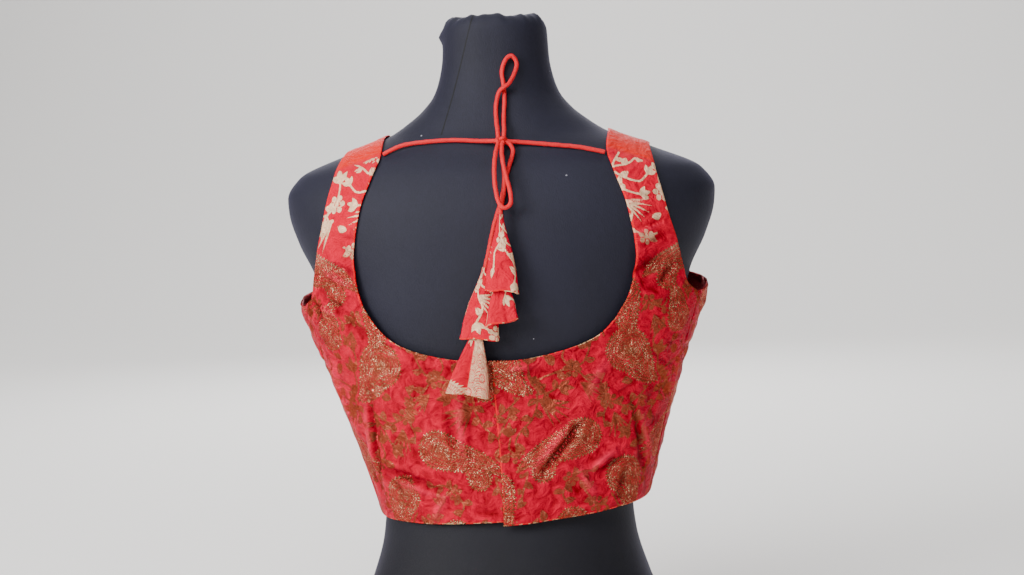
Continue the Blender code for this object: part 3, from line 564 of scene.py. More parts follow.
def panel_surface(inner_parts, outer_parts, row_counts, columns):
    """Grid of points on the blouse's inner face, from its inner edge to its outer edge."""
    ends = []
    for parts in (inner_parts, outer_parts):
        edge = [even_points(smooth_line(guides, EDGE_STEP), count + 1)[1 if k else 0:]
                for k, (guides, count) in enumerate(zip(parts, row_counts))]
        p = np.vstack(edge) - [0, AXIS_Y, 0]
        ends.append(np.stack([np.hypot(p[:, 0], p[:, 1]), np.arctan2(p[:, 1], p[:, 0]), p[:, 2]], axis=1))
    t = np.linspace(0, 1, columns + 1)[None, :, None]
    radius, angle, z = np.moveaxis(ends[0][:, None] + (ends[1] - ends[0])[:, None] * t, 2, 0)
    grid = np.stack([radius * np.cos(angle), AXIS_Y + radius * np.sin(angle), z], axis=2)
    return BLOUSE.seated(grid.reshape(-1, 3)).reshape(grid.shape)


def clear_of_form(points, gap):
    """The points pushed out where they come nearer to the form than the gap."""
    p = np.array(points)
    for _ in range(CLEARING_ROUNDS):
        g = FORM.gradient(p)
        size = np.linalg.norm(g, axis=1)
        short = np.maximum(gap - FORM.level(p) / size, 0.0)
        p = p + (short / size)[:, None] * g
    return p


def hung(points):
    """The points as the worn blouse hangs, a little askew on the form."""
    x, y, z = np.array(points).T
    at_hem = 1 - ramp(HEM_HEIGHT, UNDERARM_HEIGHT, z)
    below_strap = 1 - ramp(UNDERARM_HEIGHT, FREE_ABOVE, z)
    side = (x / float(BLOUSE.half_width(HEM_HEIGHT)))**2
    rise = -x * (HEM_TILT * at_hem + UNDERARM_TILT * (1 - at_hem)) * below_strap
    rise += HEM_SIDE_RISE * np.minimum(side, 1) * at_hem**3
    return np.stack([x - HEM_SWAY * at_hem, y, z + rise], axis=1)


def run_along(grid, axis):
    """Length along the cloth from the grid's first line of points."""
    steps = np.linalg.norm(np.diff(grid, axis=axis), axis=2)
    zero = np.zeros_like(np.take(steps, [0], axis=axis))
    return np.concatenate([zero, np.cumsum(steps, axis=axis)], axis=axis)


def laid_flat(grid, split):
    """The panel unrolled to its flat cut, in metres: across from the centre, and up from the hem."""
    nodes = grid[::FLAT_EVERY, ::FLAT_EVERY]
    across, up = run_along(nodes, 1), run_along(nodes, 0)
    first = split // FLAT_EVERY
    flat = np.stack([nodes[:, :1, 0] + across, nodes[:, :, 2]], axis=2)
    flat[first:, :, 1] = nodes[first, :, 2] + up[first:] - up[first]
    rows, columns = nodes.shape[:2]
    for _ in range(FLAT_ROUNDS):
        push, count = np.zeros_like(flat), np.zeros((rows, columns, 1))
        for di, dj in ((0, 1), (1, 0), (1, 1), (1, -1)):
            a = (slice(0, rows - di), slice(max(0, -dj), columns - max(0, dj)))
            b = (slice(di, rows), slice(max(0, dj), columns - max(0, -dj)))
            rest = np.linalg.norm(nodes[b] - nodes[a], axis=2)[..., None]
            gap = flat[b] - flat[a]
            move = 0.5 * gap * (1 - rest / np.linalg.norm(gap, axis=2)[..., None])
            push[a] += move
            push[b] -= move
            count[a] += 1
            count[b] += 1
        flat += push / count
    fine_rows = np.arange(grid.shape[0]) / FLAT_EVERY
    fine_columns = np.arange(grid.shape[1]) / FLAT_EVERY
    wide = np.stack([[np.interp(fine_columns, np.arange(columns), row) for row in flat[:, :, k]]
                     for k in (0, 1)], axis=2)
    return np.stack([np.stack([np.interp(fine_rows, np.arange(rows), column)
                               for column in wide[:, :, k].T], axis=1) for k in (0, 1)], axis=2)


# The brocade's pattern, in mm: flower sprigs on curving stems, with feathery
# parisleys among them. One repeat is charted here and set side by side.
REPEAT = (118, 336)
UPPER_HALF = 168  # the chart's upper half repeats the lower one from here
STRAP_PART = 56  # but for the columns up to this one, which fall on the straps
PLAIN_BACK = 0.060  # the straps' tops show the plain end of the cloth
PLAIN_FRONT = 0.022
PLAIN_BLEND = 0.004
BESIDE_REPEAT = (70, 50)  # a motif reaches at most this far out of its repeat
FEATHER_MARGIN = 2.6  # ground left free round a paisley
PLUMES = [  # x, y, turn of the tip from upright, reach, length
    (30, 118, 128, 19.5, 46), (103, 42, -118, 17, 66), (22, 0, 150, 17, 42), (80, 144, -24, 13, 36),
    (66, 14, 24, 10, 27), (22, 168, 150, 17, 42), (103, 210, -118, 17, 66), (66, 182, 24, 10, 27),
    (90, 300, 160, 14, 38),
]
SPRIGS = [  # kind, x, y, turn from upright, size
    ("blossom", 62, 92, 0, 8.5), ("blossom", 12, 72, 15, 8), ("blossom", 98, 104, 8, 8.5),
    ("blossom", 46, 28, 20, 7.5), ("blossom", 48, 160, 0, 8), ("blossom", 112, 146, 10, 7.5),
    ("blossom", 90, 4, 10, 7.5), ("tulip", 60, 112, 10, 15), ("tulip", 86, 88, 95, 14),
    ("tulip", 28, 44, -130, 14), ("tulip", 106, 122, 20, 14), ("tulip", 38, 48, 10, 13),
    ("tulip", 102, 161, 15, 13), ("tulip", 2, 152, -40, 13), ("fern", 66, 80, 128, 36),
    ("fern", 16, 62, 168, 30), ("fern", 104, 92, 128, 26), ("fern", 54, 150, 165, 24),
    ("leaf", 74, 122, 30, 13), ("leaf", 28, 26, 60, 13), ("leaf", 64, 136, -10, 12),
    ("leaf", 82, 108, -40, 14), ("leaf", 24, 88, 60, 14),
]
STRAP_SPRIGS = [
    ("blossom", 28, 302, 10, 7.2), ("blossom", 22, 262, 0, 7.6), ("blossom", 46, 218, 20, 7.2),
    ("tulip", 42, 320, 25, 11), ("tulip", 50, 276, 30, 11), ("tulip", 42, 256, 70, 11),
    ("tulip", 30, 226, 160, 11), ("leaf", 12, 316, -20, 11), ("leaf", 52, 300, 40, 12),
    ("leaf", 12, 286, -60, 11), ("leaf", 52, 236, 60, 11), ("leaf", 14, 238, 200, 11),
    ("leaf", 8, 216, 170, 11), ("fern", 26, 250, 112, 28),
]
VINES = [  # leaf spacing, leaf size, points of the stem
    (9, 11, (12, 72, 28, 66, 42, 74, 62, 92, 78, 100, 98, 104, 112, 92, 130, 72)),
    (8, 10, (62, 92, 60, 104, 60, 112)),
    (8, 11, (42, 74, 40, 66, 34, 56, 28, 44)),
    (9, 11, (62, 92, 66, 78, 60, 62, 50, 52, 44, 42, 46, 28)),
    (8, 9, (46, 28, 38, 36, 40, 46)),
    (9, 10, (46, 28, 52, 14, 48, 0, 46, -8)),
    (8, 10, (98, 104, 90, 114, 92, 124)),
    (9, 10, (98, 104, 108, 110, 114, 126, 112, 146)),
    (8, 9, (112, 146, 106, 154, 102, 160)),
    (9, 10, (12, 72, 4, 84, 8, 98)),
    (8, 9, (12, 72, 6, 60, 6, 48)),
    (8, 10, (48, 160, 40, 150, 36, 144)),
    (8, 10, (48, 160, 60, 156, 66, 162)),
    (8, 10, (90, 4, 82, -8, 86, -18)),
    (8, 9, (90, 4, 100, 10, 112, 8)),
    (9, 10, (62, 92, 74, 84, 84, 88)),
    (8, 9, (112, 146, 122, 142, 126, 132)),
    (8, 9, (60, 112, 54, 126, 62, 138)),
    (8, 9, (66, 78, 78, 72, 92, 74)),
]
STRAP_VINES = [
    (12, 9, (30, 226, 34, 240, 26, 252, 22, 262, 18, 276, 22, 290, 28, 302, 36, 312, 42, 320)),
    (14, 9, (20, 280, 32, 284, 40, 292, 52, 300)),
    (16, 9, (22, 262, 32, 258, 42, 256)),
    (14, 9, (18, 276, 30, 270, 42, 268, 50, 276)),
    (14, 9, (30, 226, 38, 222, 46, 218, 56, 222)),
    (16, 9, (22, 262, 14, 252, 14, 238)),
    (16, 9, (28, 302, 18, 306, 12, 316)),
]
STEM_HALF = 0.9
PAISLEY_STEPS = 48  # circles that a paisley is made up of
LIT_STRAP = (0.385, 0.43)  # the straps turn up to the light between these heights
LEAF_LEAN = 58  # of a leaf from its stem, to each side in turn
LEAF_CLEAR = 9.5  # between a leaf's tip and the middle of a flower


def petal(x, y, length, half):
    """Inside distance of a pointed petal that grows up from the origin."""
    beyond = np.where(y < 0, -y, np.maximum(y - length, 0))
    edge = half * np.sin(math.pi * np.clip(y / length, 0, 1)**0.8)
    return np.where(beyond > 0, -np.hypot(x, beyond), 0.85 * (edge - np.abs(x)))


def turned(x, y, degrees):
    """The points seen from a motif that leans this far from upright."""
    lean = math.radians(degrees)
    return x * math.cos(lean) - y * math.sin(lean), x * math.sin(lean) + y * math.cos(lean)


def motif(kind, x, y, size):
    """Inside distance of one small motif of this size."""
    if kind == "blossom":
        away, round_it = np.hypot(x, y), np.arctan2(y, x)
        lobe = np.abs(np.cos(3 * round_it))
        edge = size * (0.66 + 0.34 * lobe)
        between = np.where(away > 0.34 * size, lobe * away * 0.4 - 0.6, 1.0)
        return np.minimum(np.minimum(edge - away, np.abs(away - 0.3 * size) - 0.38), between)
    if kind == "tulip":
        lobes = [petal(*turned(x, y, side), size * long, size * 0.2)
                 for side, long in ((-40, 0.82), (0, 1.0), (40, 0.82))]
        return np.max(lobes + [0.2 * size - np.hypot(x, y - 0.12 * size)], axis=0)
    if kind == "fern":
        strands = []
        for k in range(-2, 3):
            across = x - 0.20 * k * y - 0.07 * k * y**2 / size
            strands.append(petal(across, y, size * (1 - 0.09 * abs(k)), 0.034 * size))
        return np.max(strands, axis=0)
    x = x - 0.10 * size * np.sin(math.pi * np.clip(y / size, 0, 1))
    midrib = np.where(y > 0.2 * size, np.abs(x) - 0.26, 1.0)
    return np.minimum(petal(x, y, size, 0.29 * size), midrib)


def plume(x, y, reach, length):
    """Inside distance of a paisley whose tip curls to one side, and the way along its edge."""
    inside, along = np.full(x.shape, -1e3), np.zeros(x.shape)
    for s in np.linspace(0, 1, PAISLEY_STEPS):
        centre_x = 0.62 * reach * math.sin(2.7 * s) * s
        away = np.hypot(x - centre_x, y - s * length)
        depth = reach * (1 - s)**0.8 - away
        round_it = np.arctan2(np.abs(x - centre_x), s * length - y)
        nearer = depth > inside
        inside = np.where(nearer, depth, inside)
        along = np.where(nearer, reach * np.minimum(round_it, 1.9) + 0.9 * s * length, along)
    return inside, along


def stems_and_sprigs():
    """The stems as lines of points, and every sprig, with the leaves along the stems."""
    upper = [(kind, x, y + UPPER_HALF, lean, size) for kind, x, y, lean, size in SPRIGS if x > STRAP_PART]
    sprigs = SPRIGS + STRAP_SPRIGS + upper
    vines = VINES + STRAP_VINES + [
        (spacing, size, [n + UPPER_HALF * (k % 2) for k, n in enumerate(points)])
        for spacing, size, points in VINES if min(points[::2]) > STRAP_PART]
    lines, leaves = [], []
    for spacing, size, points in vines:
        guides = np.array(points, float).reshape(-1, 2)
        line = smooth_line(np.pad(guides, ((0, 0), (0, 1))), 1.0)[:, :2]
        lines.append(line)
        for n, k in enumerate(range(spacing // 2 + 1, len(line) - 3, spacing)):
            way = line[k + 1] - line[k - 1]
            turn = math.atan2(way[0], way[1]) + math.radians(LEAF_LEAN if n % 2 else -LEAF_LEAN)
            tip = line[k] + size * np.array([math.sin(turn), math.cos(turn)])
            apart = min(math.hypot(tip[0] - sprig[1], tip[1] - sprig[2]) for sprig in sprigs)
            if apart > LEAF_CLEAR:
                leaves.append(("leaf", line[k][0], line[k][1], math.degrees(turn), size))
    return lines, sprigs + leaves


def stem_distance(x, y, line):
    """How far each point lies from a stem's line."""
    away = np.full(x.shape, 9.0)
    for a, b in zip(line, line[1:]):
        ab = b - a
        t = np.clip(((x - a[0]) * ab[0] + (y - a[1]) * ab[1]) / (ab @ ab), 0, 1)
        away = np.minimum(away, np.hypot(x - a[0] - t * ab[0], y - a[1] - t * ab[1]))
    return away


def pattern_at(x, y):
    """In mm, at points of the cloth: inside distances of the motifs and of the paisleys, and
    the way along a paisley's edge, which its barbs follow."""
    woven, feather, barb = np.full(x.shape, -9.0), np.full(x.shape, -9.0), np.zeros(x.shape)
    lines, sprigs = stems_and_sprigs()
    wide, high = REPEAT
    aside, beyond = BESIDE_REPEAT
    for i in range(math.floor(x.min() / wide) - 1, math.ceil(x.max() / wide) + 1):
        for j in range(math.floor(y.min() / high) - 1, math.ceil(y.max() / high) + 1):
            px, py = x - i * wide, y - j * high
            if py.max() < -beyond or py.min() > high + beyond:
                continue
            if px.max() < -aside or px.min() > wide + aside:
                continue
            for mx, my, lean, reach, length in PLUMES:
                near = np.hypot(px - mx, py - my) < length + reach + 6
                inside, along = plume(*turned(px[near] - mx, py[near] - my, lean), reach, length)
                nearer = inside > feather[near]
                barb[near] = np.where(nearer, along, barb[near])
                feather[near] = np.where(nearer, inside, feather[near])
            for kind, mx, my, lean, size in sprigs:
                near = np.hypot(px - mx, py - my) < 1.5 * size
                local = turned(px[near] - mx, py[near] - my, lean)
                woven[near] = np.maximum(woven[near], motif(kind, *local, size))
            for line in lines:
                low, top = line.min(axis=0) - 5, line.max(axis=0) + 5
                near = (px > low[0]) & (px < top[0]) & (py > low[1]) & (py < top[1])
                if near.any():
                    away = stem_distance(px[near], py[near], line)
                    woven[near] = np.maximum(woven[near], STEM_HALF - away)
    return np.minimum(woven, -feather - FEATHER_MARGIN), feather, barb


def shell_faces(rows, columns, open_below):
    """Faces of a cloth shell: a fine outer wall, a coarse inner wall and the rim between them."""
    fine = np.arange((rows + 1) * (columns + 1)).reshape(rows + 1, columns + 1)
    inner_shape = (rows // COARSE + 1, columns // COARSE + 1)
    inner = fine.size + np.arange(inner_shape[0] * inner_shape[1]).reshape(inner_shape)
    faces, reverse = [], []
    for wall, back in ((fine, False), (inner, True)):
        quads = [wall[:-1, :-1], wall[:-1, 1:], wall[1:, 1:], wall[1:, :-1]]
        quads = np.stack(quads[::-1] if back else quads, axis=2).reshape(-1, 4)
        faces += quads.tolist()
        reverse += [back] * len(quads)
    borders = [(fine[0], inner[0], False), (fine[:, -1], inner[:, -1], False),
               (fine[-1], inner[-1], True), (fine[open_below:, 0], inner[open_below // COARSE:, 0], True)]
    for outside, inside, back in borders:
        for k in range(len(inside) - 1):
            ring = list(outside[k * COARSE:(k + 1) * COARSE + 1][::-1]) + [inside[k], inside[k + 1]]
            faces.append([int(n) for n in (ring[::-1] if back else ring)])
            reverse.append(False)
    return faces, reverse


def panel_half(grid, side, folds, lift, strap_row, neck_row, pattern_shift, mirrored, open_below,
               plain):
    """Points, faces, UV and values of one panel, or of half the front."""
    shape = grid.shape
    flat_grid = grid.reshape(-1, 3)
    turn = np.array([side, 1, 1])
    out = BLOUSE.normals(flat_grid) * turn
    across, up = run_along(grid, 1), run_along(grid, 0)
    to_outer, to_top = across[:, -1:] - across, up[-1:] - up
    rows = np.arange(shape[0])[:, None]
    centre_free = np.where(rows >= open_below, across, 1.0)
    free = np.minimum(np.minimum(centre_free, up), np.where(rows >= strap_row, to_outer, 1.0)).ravel()
    border = np.minimum(np.minimum(centre_free, up), np.minimum(to_outer, to_top)).ravel()
    cut = laid_flat(grid, strap_row)
    x, y = cut[:, :, 0].ravel(), cut[:, :, 1].ravel()
    soft = (0.6 * np.sin(x * 310 + 2 * np.sin(y * 170)) * np.sin(y * 260 + side)
            + 0.8 * np.sin(x * 140 + y * 220 + 2 * side)
            + 0.8 * np.sin(x * 95 - y * 60 + 3 * np.sin(y * 40)) * np.sin(x * 50 + y * 90 + side))
    soft *= SOFT_RIPPLE * ramp(0.002, 0.02, np.minimum(border, across.ravel()))
    rise, crease = fold_rise(flat_grid, folds)
    stand = rise + lift(flat_grid) + soft
    inside = clear_of_form(hung(flat_grid * turn) + out * stand[:, None], SKIN_GAP)
    thick = (CLOTH + TURNING_RISE * (1 - ramp(TURNING - 0.001, TURNING + 0.001, free))
             - EDGE_THINNING * (1 - ramp(0, EDGE_ROUND, border)))
    outer = inside + out * thick[:, None]
    inner = (outer - out * THIN_CLOTH).reshape(shape)[::COARSE, ::COARSE]
    outer = outer.reshape(shape)
    signed = 1 if mirrored else side
    woven, feather, barb = pattern_at(signed * x * 1000 - pattern_shift[0],
                                      (y - HEM_HEIGHT) * 1000 - pattern_shift[1])
    band = 1 - ramp(plain - PLAIN_BLEND, plain + PLAIN_BLEND, to_top.ravel())
    low_neck = np.where(rows >= neck_row, across, 1.0).ravel() + ramp(0.33, 0.37, flat_grid[:, 2])
    values = {"zari": woven - 6 * band, "plume": feather - 30 * band, "barb": barb, "band": band,
              "edge": free * 1000, "trim": np.minimum(up.ravel(), low_neck) * 1000,
              "crease": crease * 1000, "lit": ramp(*LIT_STRAP, flat_grid[:, 2])}
    coarse = (slice(None, None, COARSE), slice(None, None, COARSE))
    values = {k: np.concatenate([v, v.reshape(shape[:2])[coarse].ravel()]) for k, v in values.items()}
    uv = np.vstack([wall.reshape(-1, 2) for wall in (cut * [side, 1], cut[coarse] * [side, 1])])
    points = np.vstack([outer.reshape(-1, 3), inner.reshape(-1, 3)])
    faces, reverse = shell_faces(shape[0] - 1, shape[1] - 1, open_below)
    a, b = cut[1:, 1:] - cut[:-1, :-1], cut[1:, :-1] - cut[:-1, 1:]
    area = float(np.abs(a[..., 0] * b[..., 1] - a[..., 1] * b[..., 0]).sum() / 2)
    return points, faces, reverse, uv, values, area, (float(np.ptp(x)), float(np.ptp(y)))


def finish_shell(piece, reverse):
    """Joins doubled points, turns the faces outwards and gives both walls their cloth."""
    piece.data.materials.append(brocade)
    piece.data.materials.append(reverse_cloth)
    piece.data.polygons.foreach_set("material_index", np.array(reverse, int))
    bm = bmesh.new()
    bm.from_mesh(piece.data)
    bmesh.ops.remove_doubles(bm, verts=bm.verts, dist=0.00002)
    bmesh.ops.recalc_face_normals(bm, faces=bm.faces)
    bm.to_mesh(piece.data)
    bm.free()
    piece.data.shade_smooth()


# Silk-blend brocade: a crimson satin ground with floats of gold-wrapped thread
# (zari). The ground glows softly pink at grazing angles; the thread is metal, so
# it is copper-brown in shade and cream where it meets the light.
brocade, tree = new_material("crimson_brocade")
cut = node("UVMap", "UV", {"uv_map": "cut"})
in_mm = node("VectorMath", "Vector", {"operation": "SCALE", "Scale": 1000, 0: cut})
zari, plumes, barb_run, edge_run, trim_run, plain, crease, lit = (
    node("Attribute", "Fac", {"attribute_name": name})
    for name in ("zari", "plume", "barb", "edge", "trim", "band", "crease", "lit"))
weft = node("Mapping", "Vector", {"Scale": (0.35, 2.2, 1), "Vector": in_mm})
floats = node("TexNoise", "Fac", {"Vector": weft, "Scale": 0.9, "Detail": 2, "Roughness": 0.6})
speckle = node("TexNoise", "Fac", {"Vector": in_mm, "Scale": 0.75, "Detail": 3, "Roughness": 0.75})
nap = node("TexNoise", "Fac", {"Vector": in_mm, "Scale": 0.11, "Detail": 5, "Roughness": 0.75})
crumple = node("TexNoise", "Fac", {
    "Vector": in_mm, "Scale": 0.085, "Detail": 4, "Roughness": 0.55, "Distortion": 1.3})
slub = node("TexNoise", "Fac", {"Vector": in_mm, "Scale": 0.05, "Detail": 4, "Roughness": 0.6})


def off_line(distance, at, half):
    """0 on a line at this distance, 1 beyond half its width."""
    return node("MapRange", "Result", {
        "interpolation_type": "SMOOTHSTEP",
        "Value": node("Math", "Value", {
            "operation": "ABSOLUTE",
            0: node("Math", "Value", {"operation": "SUBTRACT", 0: distance, 1: at})}),
        "From Min": half - 0.25, "From Max": half + 0.25})


def barbs(period, slant):
    """A wave of fine lines that slant across a paisley's rim."""
    run = node("Math", "Value", {"operation": "MULTIPLY", 0: barb_run, 1: 2 * math.pi / period})
    return node("Math", "Value", {
        "operation": "SINE",
        0: node("Math", "Value", {"operation": "MULTIPLY_ADD", 0: plumes, 1: slant, 2: run})})


uneven = node("Math", "Value", {"operation": "MULTIPLY_ADD", 0: speckle, 1: 1.6, 2: -0.8})
solid_part = node("MapRange", "Result", {
    "interpolation_type": "SMOOTHSTEP",
    "Value": node("Math", "Value", {"operation": "ADD", 0: zari, 1: uneven}),
    "From Min": -0.2, "From Max": 0.2})
# A paisley is woven in rings with red lines between them: barbs that frill its
# edge, then feathery hatching, then a heart that is nearly all gold.
depth = node("Math", "Value", {"operation": "MULTIPLY_ADD", 0: uneven, 1: 1.5, 2: plumes})
fringe = node("MapRange", "Result", {
    "interpolation_type": "SMOOTHSTEP",
    "Value": node("Math", "Value", {
        "operation": "MULTIPLY_ADD", 0: barbs(2.9, 0.9), 1: 0.8,
        2: node("Math", "Value", {"operation": "MULTIPLY_ADD", 0: depth, 1: 0.8, 2: 0.35})}),
    "From Min": -0.5, "From Max": 0.5})
hatching = node("MapRange", "Result", {
    "interpolation_type": "SMOOTHSTEP",
    "Value": node("Math", "Value", {
        "operation": "ADD", 0: barbs(2.3, -1.5),
        1: node("Math", "Value", {"operation": "MULTIPLY_ADD", 0: speckle, 1: 5.0, 2: -1.9})}),
    "From Min": -0.5, "From Max": 0.5})
in_rings = node("Math", "Value", {
    "operation": "MULTIPLY",
    0: node("MapRange", "Result", {
        "interpolation_type": "SMOOTHSTEP", "Value": depth, "From Min": 0.9, "From Max": 1.5}),
    1: node("MapRange", "Result", {
        "interpolation_type": "SMOOTHSTEP",
        "Value": node("Math", "Value", {"operation": "SUBTRACT", 0: 17.0, 1: depth}),
        "From Min": -3.0, "From Max": 3.0})})
hatched = node("Math", "Value", {
    "operation": "SUBTRACT", 0: 1.0,
    1: node("Math", "Value", {
        "operation": "MULTIPLY", 0: in_rings,
        1: node("Math", "Value", {"operation": "SUBTRACT", 0: 1.0, 1: hatching})})})
in_rim = node("MapRange", "Result", {
    "interpolation_type": "SMOOTHSTEP", "Value": plumes, "From Min": -2.6, "From Max": -2.2})
feather_part = fringe
for kept in (in_rim, off_line(depth, 2.4, 0.2), off_line(depth, 5.6, 0.2), off_line(depth, 9.0, 0.25),
             hatched):
    feather_part = node("Math", "Value", {"operation": "MULTIPLY", 0: feather_part, 1: kept})
# Gold thread shows in flecks along the turned edges; their bright cream colour is a painted highlight.
fleck = node("Math", "Value", {
    "operation": "MULTIPLY", 0: node("Math", "Value", {"operation": "LESS_THAN", 0: trim_run, 1: 0.9}),
    1: node("MapRange", "Result", {
        "interpolation_type": "SMOOTHSTEP", "Value": nap, "From Min": 0.51, "From Max": 0.57})})
gold_part = node("Math", "Value", {
    "operation": "MAXIMUM",
    0: node("Math", "Value", {"operation": "MAXIMUM", 0: solid_part, 1: feather_part}), 1: fleck})

# The ground's red varies with the yarn's slubs, and with painted shade and light that follow the same
# crumples that bump the cloth.
slub_and_painted_crumple_shade = node("Math", "Value", {
    "operation": "MULTIPLY_ADD", 0: crumple, 1: 2.0,
    2: node("Math", "Value", {"operation": "SUBTRACT", 0: slub, 1: 1.0})})
ground = node("Mix", "Result", {
    "data_type": "RGBA", "Factor": slub_and_painted_crumple_shade, "A": "#740010", "B": "#D80034"})
# Painted light: on the straps and cones, where they turn up to the light, the ground is painted lighter.
ground = node("Mix", "Result", {
    "data_type": "RGBA", "Factor": node("Math", "Value", {"operation": "MULTIPLY", 0: lit, 1: 0.7}),
    "A": ground, "B": "#DC0430"})
ground = node("Mix", "Result", {"data_type": "RGBA", "Factor": plain, "A": ground, "B": "#E01A10"})
# Painted highlight: within 1.5 mm of a free edge the red is painted brighter, as the turned edge catches
# the light.
ground = node("Mix", "Result", {
    "data_type": "RGBA",
    "Factor": node("Math", "Value", {
        "operation": "MULTIPLY",
        0: node("Math", "Value", {"operation": "LESS_THAN", 0: edge_run, 1: 1.5}), 1: 0.7}),
    "A": ground, "B": "#E8101C"})
bright = node("Math", "Value", {"operation": "POWER", 0: floats, 1: 1.5})
thread = node("Mix", "Result", {
    "data_type": "RGBA", "Factor": feather_part,
    "A": node("Mix", "Result", {"data_type": "RGBA", "Factor": bright, "A": "#782A1C", "B": "#AC5840"}),
    "B": node("Mix", "Result", {"data_type": "RGBA", "Factor": bright, "A": "#702618", "B": "#B06444"})})
# Painted glints: bright cream specks on the thread, in patches, most of them on the paisleys.
patches = node("MapRange", "Result", {
    "interpolation_type": "SMOOTHSTEP", "Value": nap, "From Min": 0.46, "From Max": 0.6})
sparkle = node("Math", "Value", {
    "operation": "MULTIPLY",
    0: node("Math", "Value", {
        "operation": "MULTIPLY",
        0: node("MapRange", "Result", {
            "interpolation_type": "SMOOTHSTEP", "Value": speckle, "From Min": 0.48, "From Max": 0.64}),
        1: node("Math", "Value", {"operation": "MULTIPLY_ADD", 0: patches, 1: 0.85, 2: 0.08})}),
    1: node("Math", "Value", {"operation": "MULTIPLY_ADD", 0: feather_part, 1: 0.85, 2: 0.15})})
thread = node("Mix", "Result", {"data_type": "RGBA", "Factor": sparkle, "A": thread, "B": "#FFDCAC"})
# Painted light: on the straps and cones, where they turn up to the light, the thread is painted cream.
thread = node("Mix", "Result", {
    "data_type": "RGBA", "Factor": lit, "A": thread,
    "B": node("Mix", "Result", {"data_type": "RGBA", "Factor": bright, "A": "#E0A068", "B": "#FFF0D4"})})
colour = node("Mix", "Result", {
    "data_type": "RGBA", "Factor": fleck,
    "A": node("Mix", "Result", {"data_type": "RGBA", "Factor": gold_part, "A": ground, "B": thread}),
    "B": "#E6C290"})
# Painted shade in the bottom of a crease, where the light is lost between the two sides
# of the cloth, and a painted pink highlight along its top, where the satin is drawn tight.
colour = node("Mix", "Result", {
    "data_type": "RGBA",
    "Factor": node("Math", "Value", {
        "operation": "MINIMUM", 0: node("Math", "Value", {"operation": "MULTIPLY", 0: crease, 1: -0.2}),
        1: 0.5}), "A": colour, "B": "#4A000C"})
colour = node("Mix", "Result", {
    "data_type": "RGBA",
    "Factor": node("Math", "Value", {
        "operation": "MINIMUM", 0: node("Math", "Value", {"operation": "MULTIPLY", 0: crease, 1: 0.16}),
        1: 0.4}), "A": colour, "B": "#FF3058"})
# Where the thread is painted cream as lit, it is also made less metallic.
metal = node("Math", "Value", {
    "operation": "MULTIPLY", 0: gold_part,
    1: node("Math", "Value", {"operation": "MULTIPLY_ADD", 0: lit, 1: -0.65, 2: 0.85})})
gloss = node("Math", "Value", {
    "operation": "MULTIPLY_ADD", 0: feather_part, 1: -0.14,
    2: node("Math", "Value", {"operation": "MULTIPLY_ADD", 0: gold_part, 1: -0.16, 2: 0.56})})
slopes = node("Bump", "Normal", {
    "Height": floats,
    "Strength": node("Math", "Value", {"operation": "MULTIPLY_ADD", 0: feather_part, 1: 0.65, 2: 0.25}),
    "Distance": 0.0009})
slopes = node("Bump", "Normal", {
    "Height": crumple, "Strength": 0.8, "Distance": 0.0055, "Normal": slopes})
slopes = node("Bump", "Normal", {
    "Height": gold_part, "Strength": 0.6, "Distance": 0.0003, "Normal": slopes})
node("OutputMaterial", "", {
    "Surface": node("BsdfPrincipled", "BSDF", {
        "Base Color": colour, "Metallic": metal, "Roughness": gloss, "Normal": slopes,
        "Sheen Weight": 0.02, "Sheen Roughness": 0.4, "Sheen Tint": "#FF3A5C",
        "Specular IOR Level": 0.14, "Specular Tint": "#E88A64"})})

# The cloth's reverse: the same red, duller, with loose ends of the gold thread.
reverse_cloth, tree = new_material("brocade_reverse")
cut = node("UVMap", "UV", {"uv_map": "cut"})
ends = node("TexNoise", "Fac", {
    "Vector": node("Mapping", "Vector", {"Scale": (220, 900, 1), "Vector": cut}), "Scale": 1.0})
node("OutputMaterial", "", {
    "Surface": node("BsdfPrincipled", "BSDF", {
        "Base Color": node("Mix", "Result", {
            "data_type": "RGBA",
            "Factor": node("MapRange", "Result", {
                "interpolation_type": "SMOOTHSTEP", "Value": ends, "From Min": 0.64, "From Max": 0.68}),
            "A": "#D8102C", "B": "#D89C68"}), "Roughness": 0.7, "Sheen Weight": 0.2,
        "Sheen Tint": "#FF7F96",
        "Normal": node("Bump", "Normal", {"Height": ends, "Strength": 0.3, "Distance": 0.0003})})})


def no_lift(points):
    """The left back and the front lie on the form everywhere."""
    return np.zeros(len(points))


def overlap_lift(points):
    """How far the right back stands off the form, so that the left one passes under it."""
    return OVERLAP_LIFT * (1 - ramp(OVERLAP_FLAT, OVERLAP_BLEND, points[:, 0]))


def edge_points(edge, behind):
    """The points of a charted edge, on the back or on the front."""
    return [BLOUSE.on_side(x / 1000, z / 1000, behind) for x, z in edge]


def back_grid(centre_edge, drop):
    """The back panel of one side, whose centre edge lies at this x."""
    hem_corner = BLOUSE.on_side(abs(centre_edge), HEM_HEIGHT - drop, True)
    top_corner = BLOUSE.on_side(abs(centre_edge), BACK_NECK_HEIGHT, True)
    hem_corner[0] = top_corner[0] = centre_edge
    neck, arm = edge_points(BACK_NECKLINE, True), edge_points(BACK_ARMHOLE, True)
    seam_low = [side_seam(z, SEAM_GAP / 2) for z in np.linspace(HEM_HEIGHT, SIDE_SEAM_SPLIT, 6)]
    seam_high = [side_seam(z, SEAM_GAP / 2) for z in np.linspace(SIDE_SEAM_SPLIT, UNDERARM_HEIGHT, 6)]
    inner = [
        [hem_corner, (hem_corner + top_corner) / 2, top_corner],
        [top_corner] + neck[:NECK_TURN],
        neck[NECK_TURN - 1:] + [shoulder_end(NECK_EDGE, SEAM_GAP / 2)],
    ]
    outer = [seam_low, seam_high, [seam_high[-1]] + arm + [shoulder_end(ARM_EDGE, SEAM_GAP / 2)]]
    return panel_surface(inner, outer, BACK_ROWS, BACK_COLUMNS)


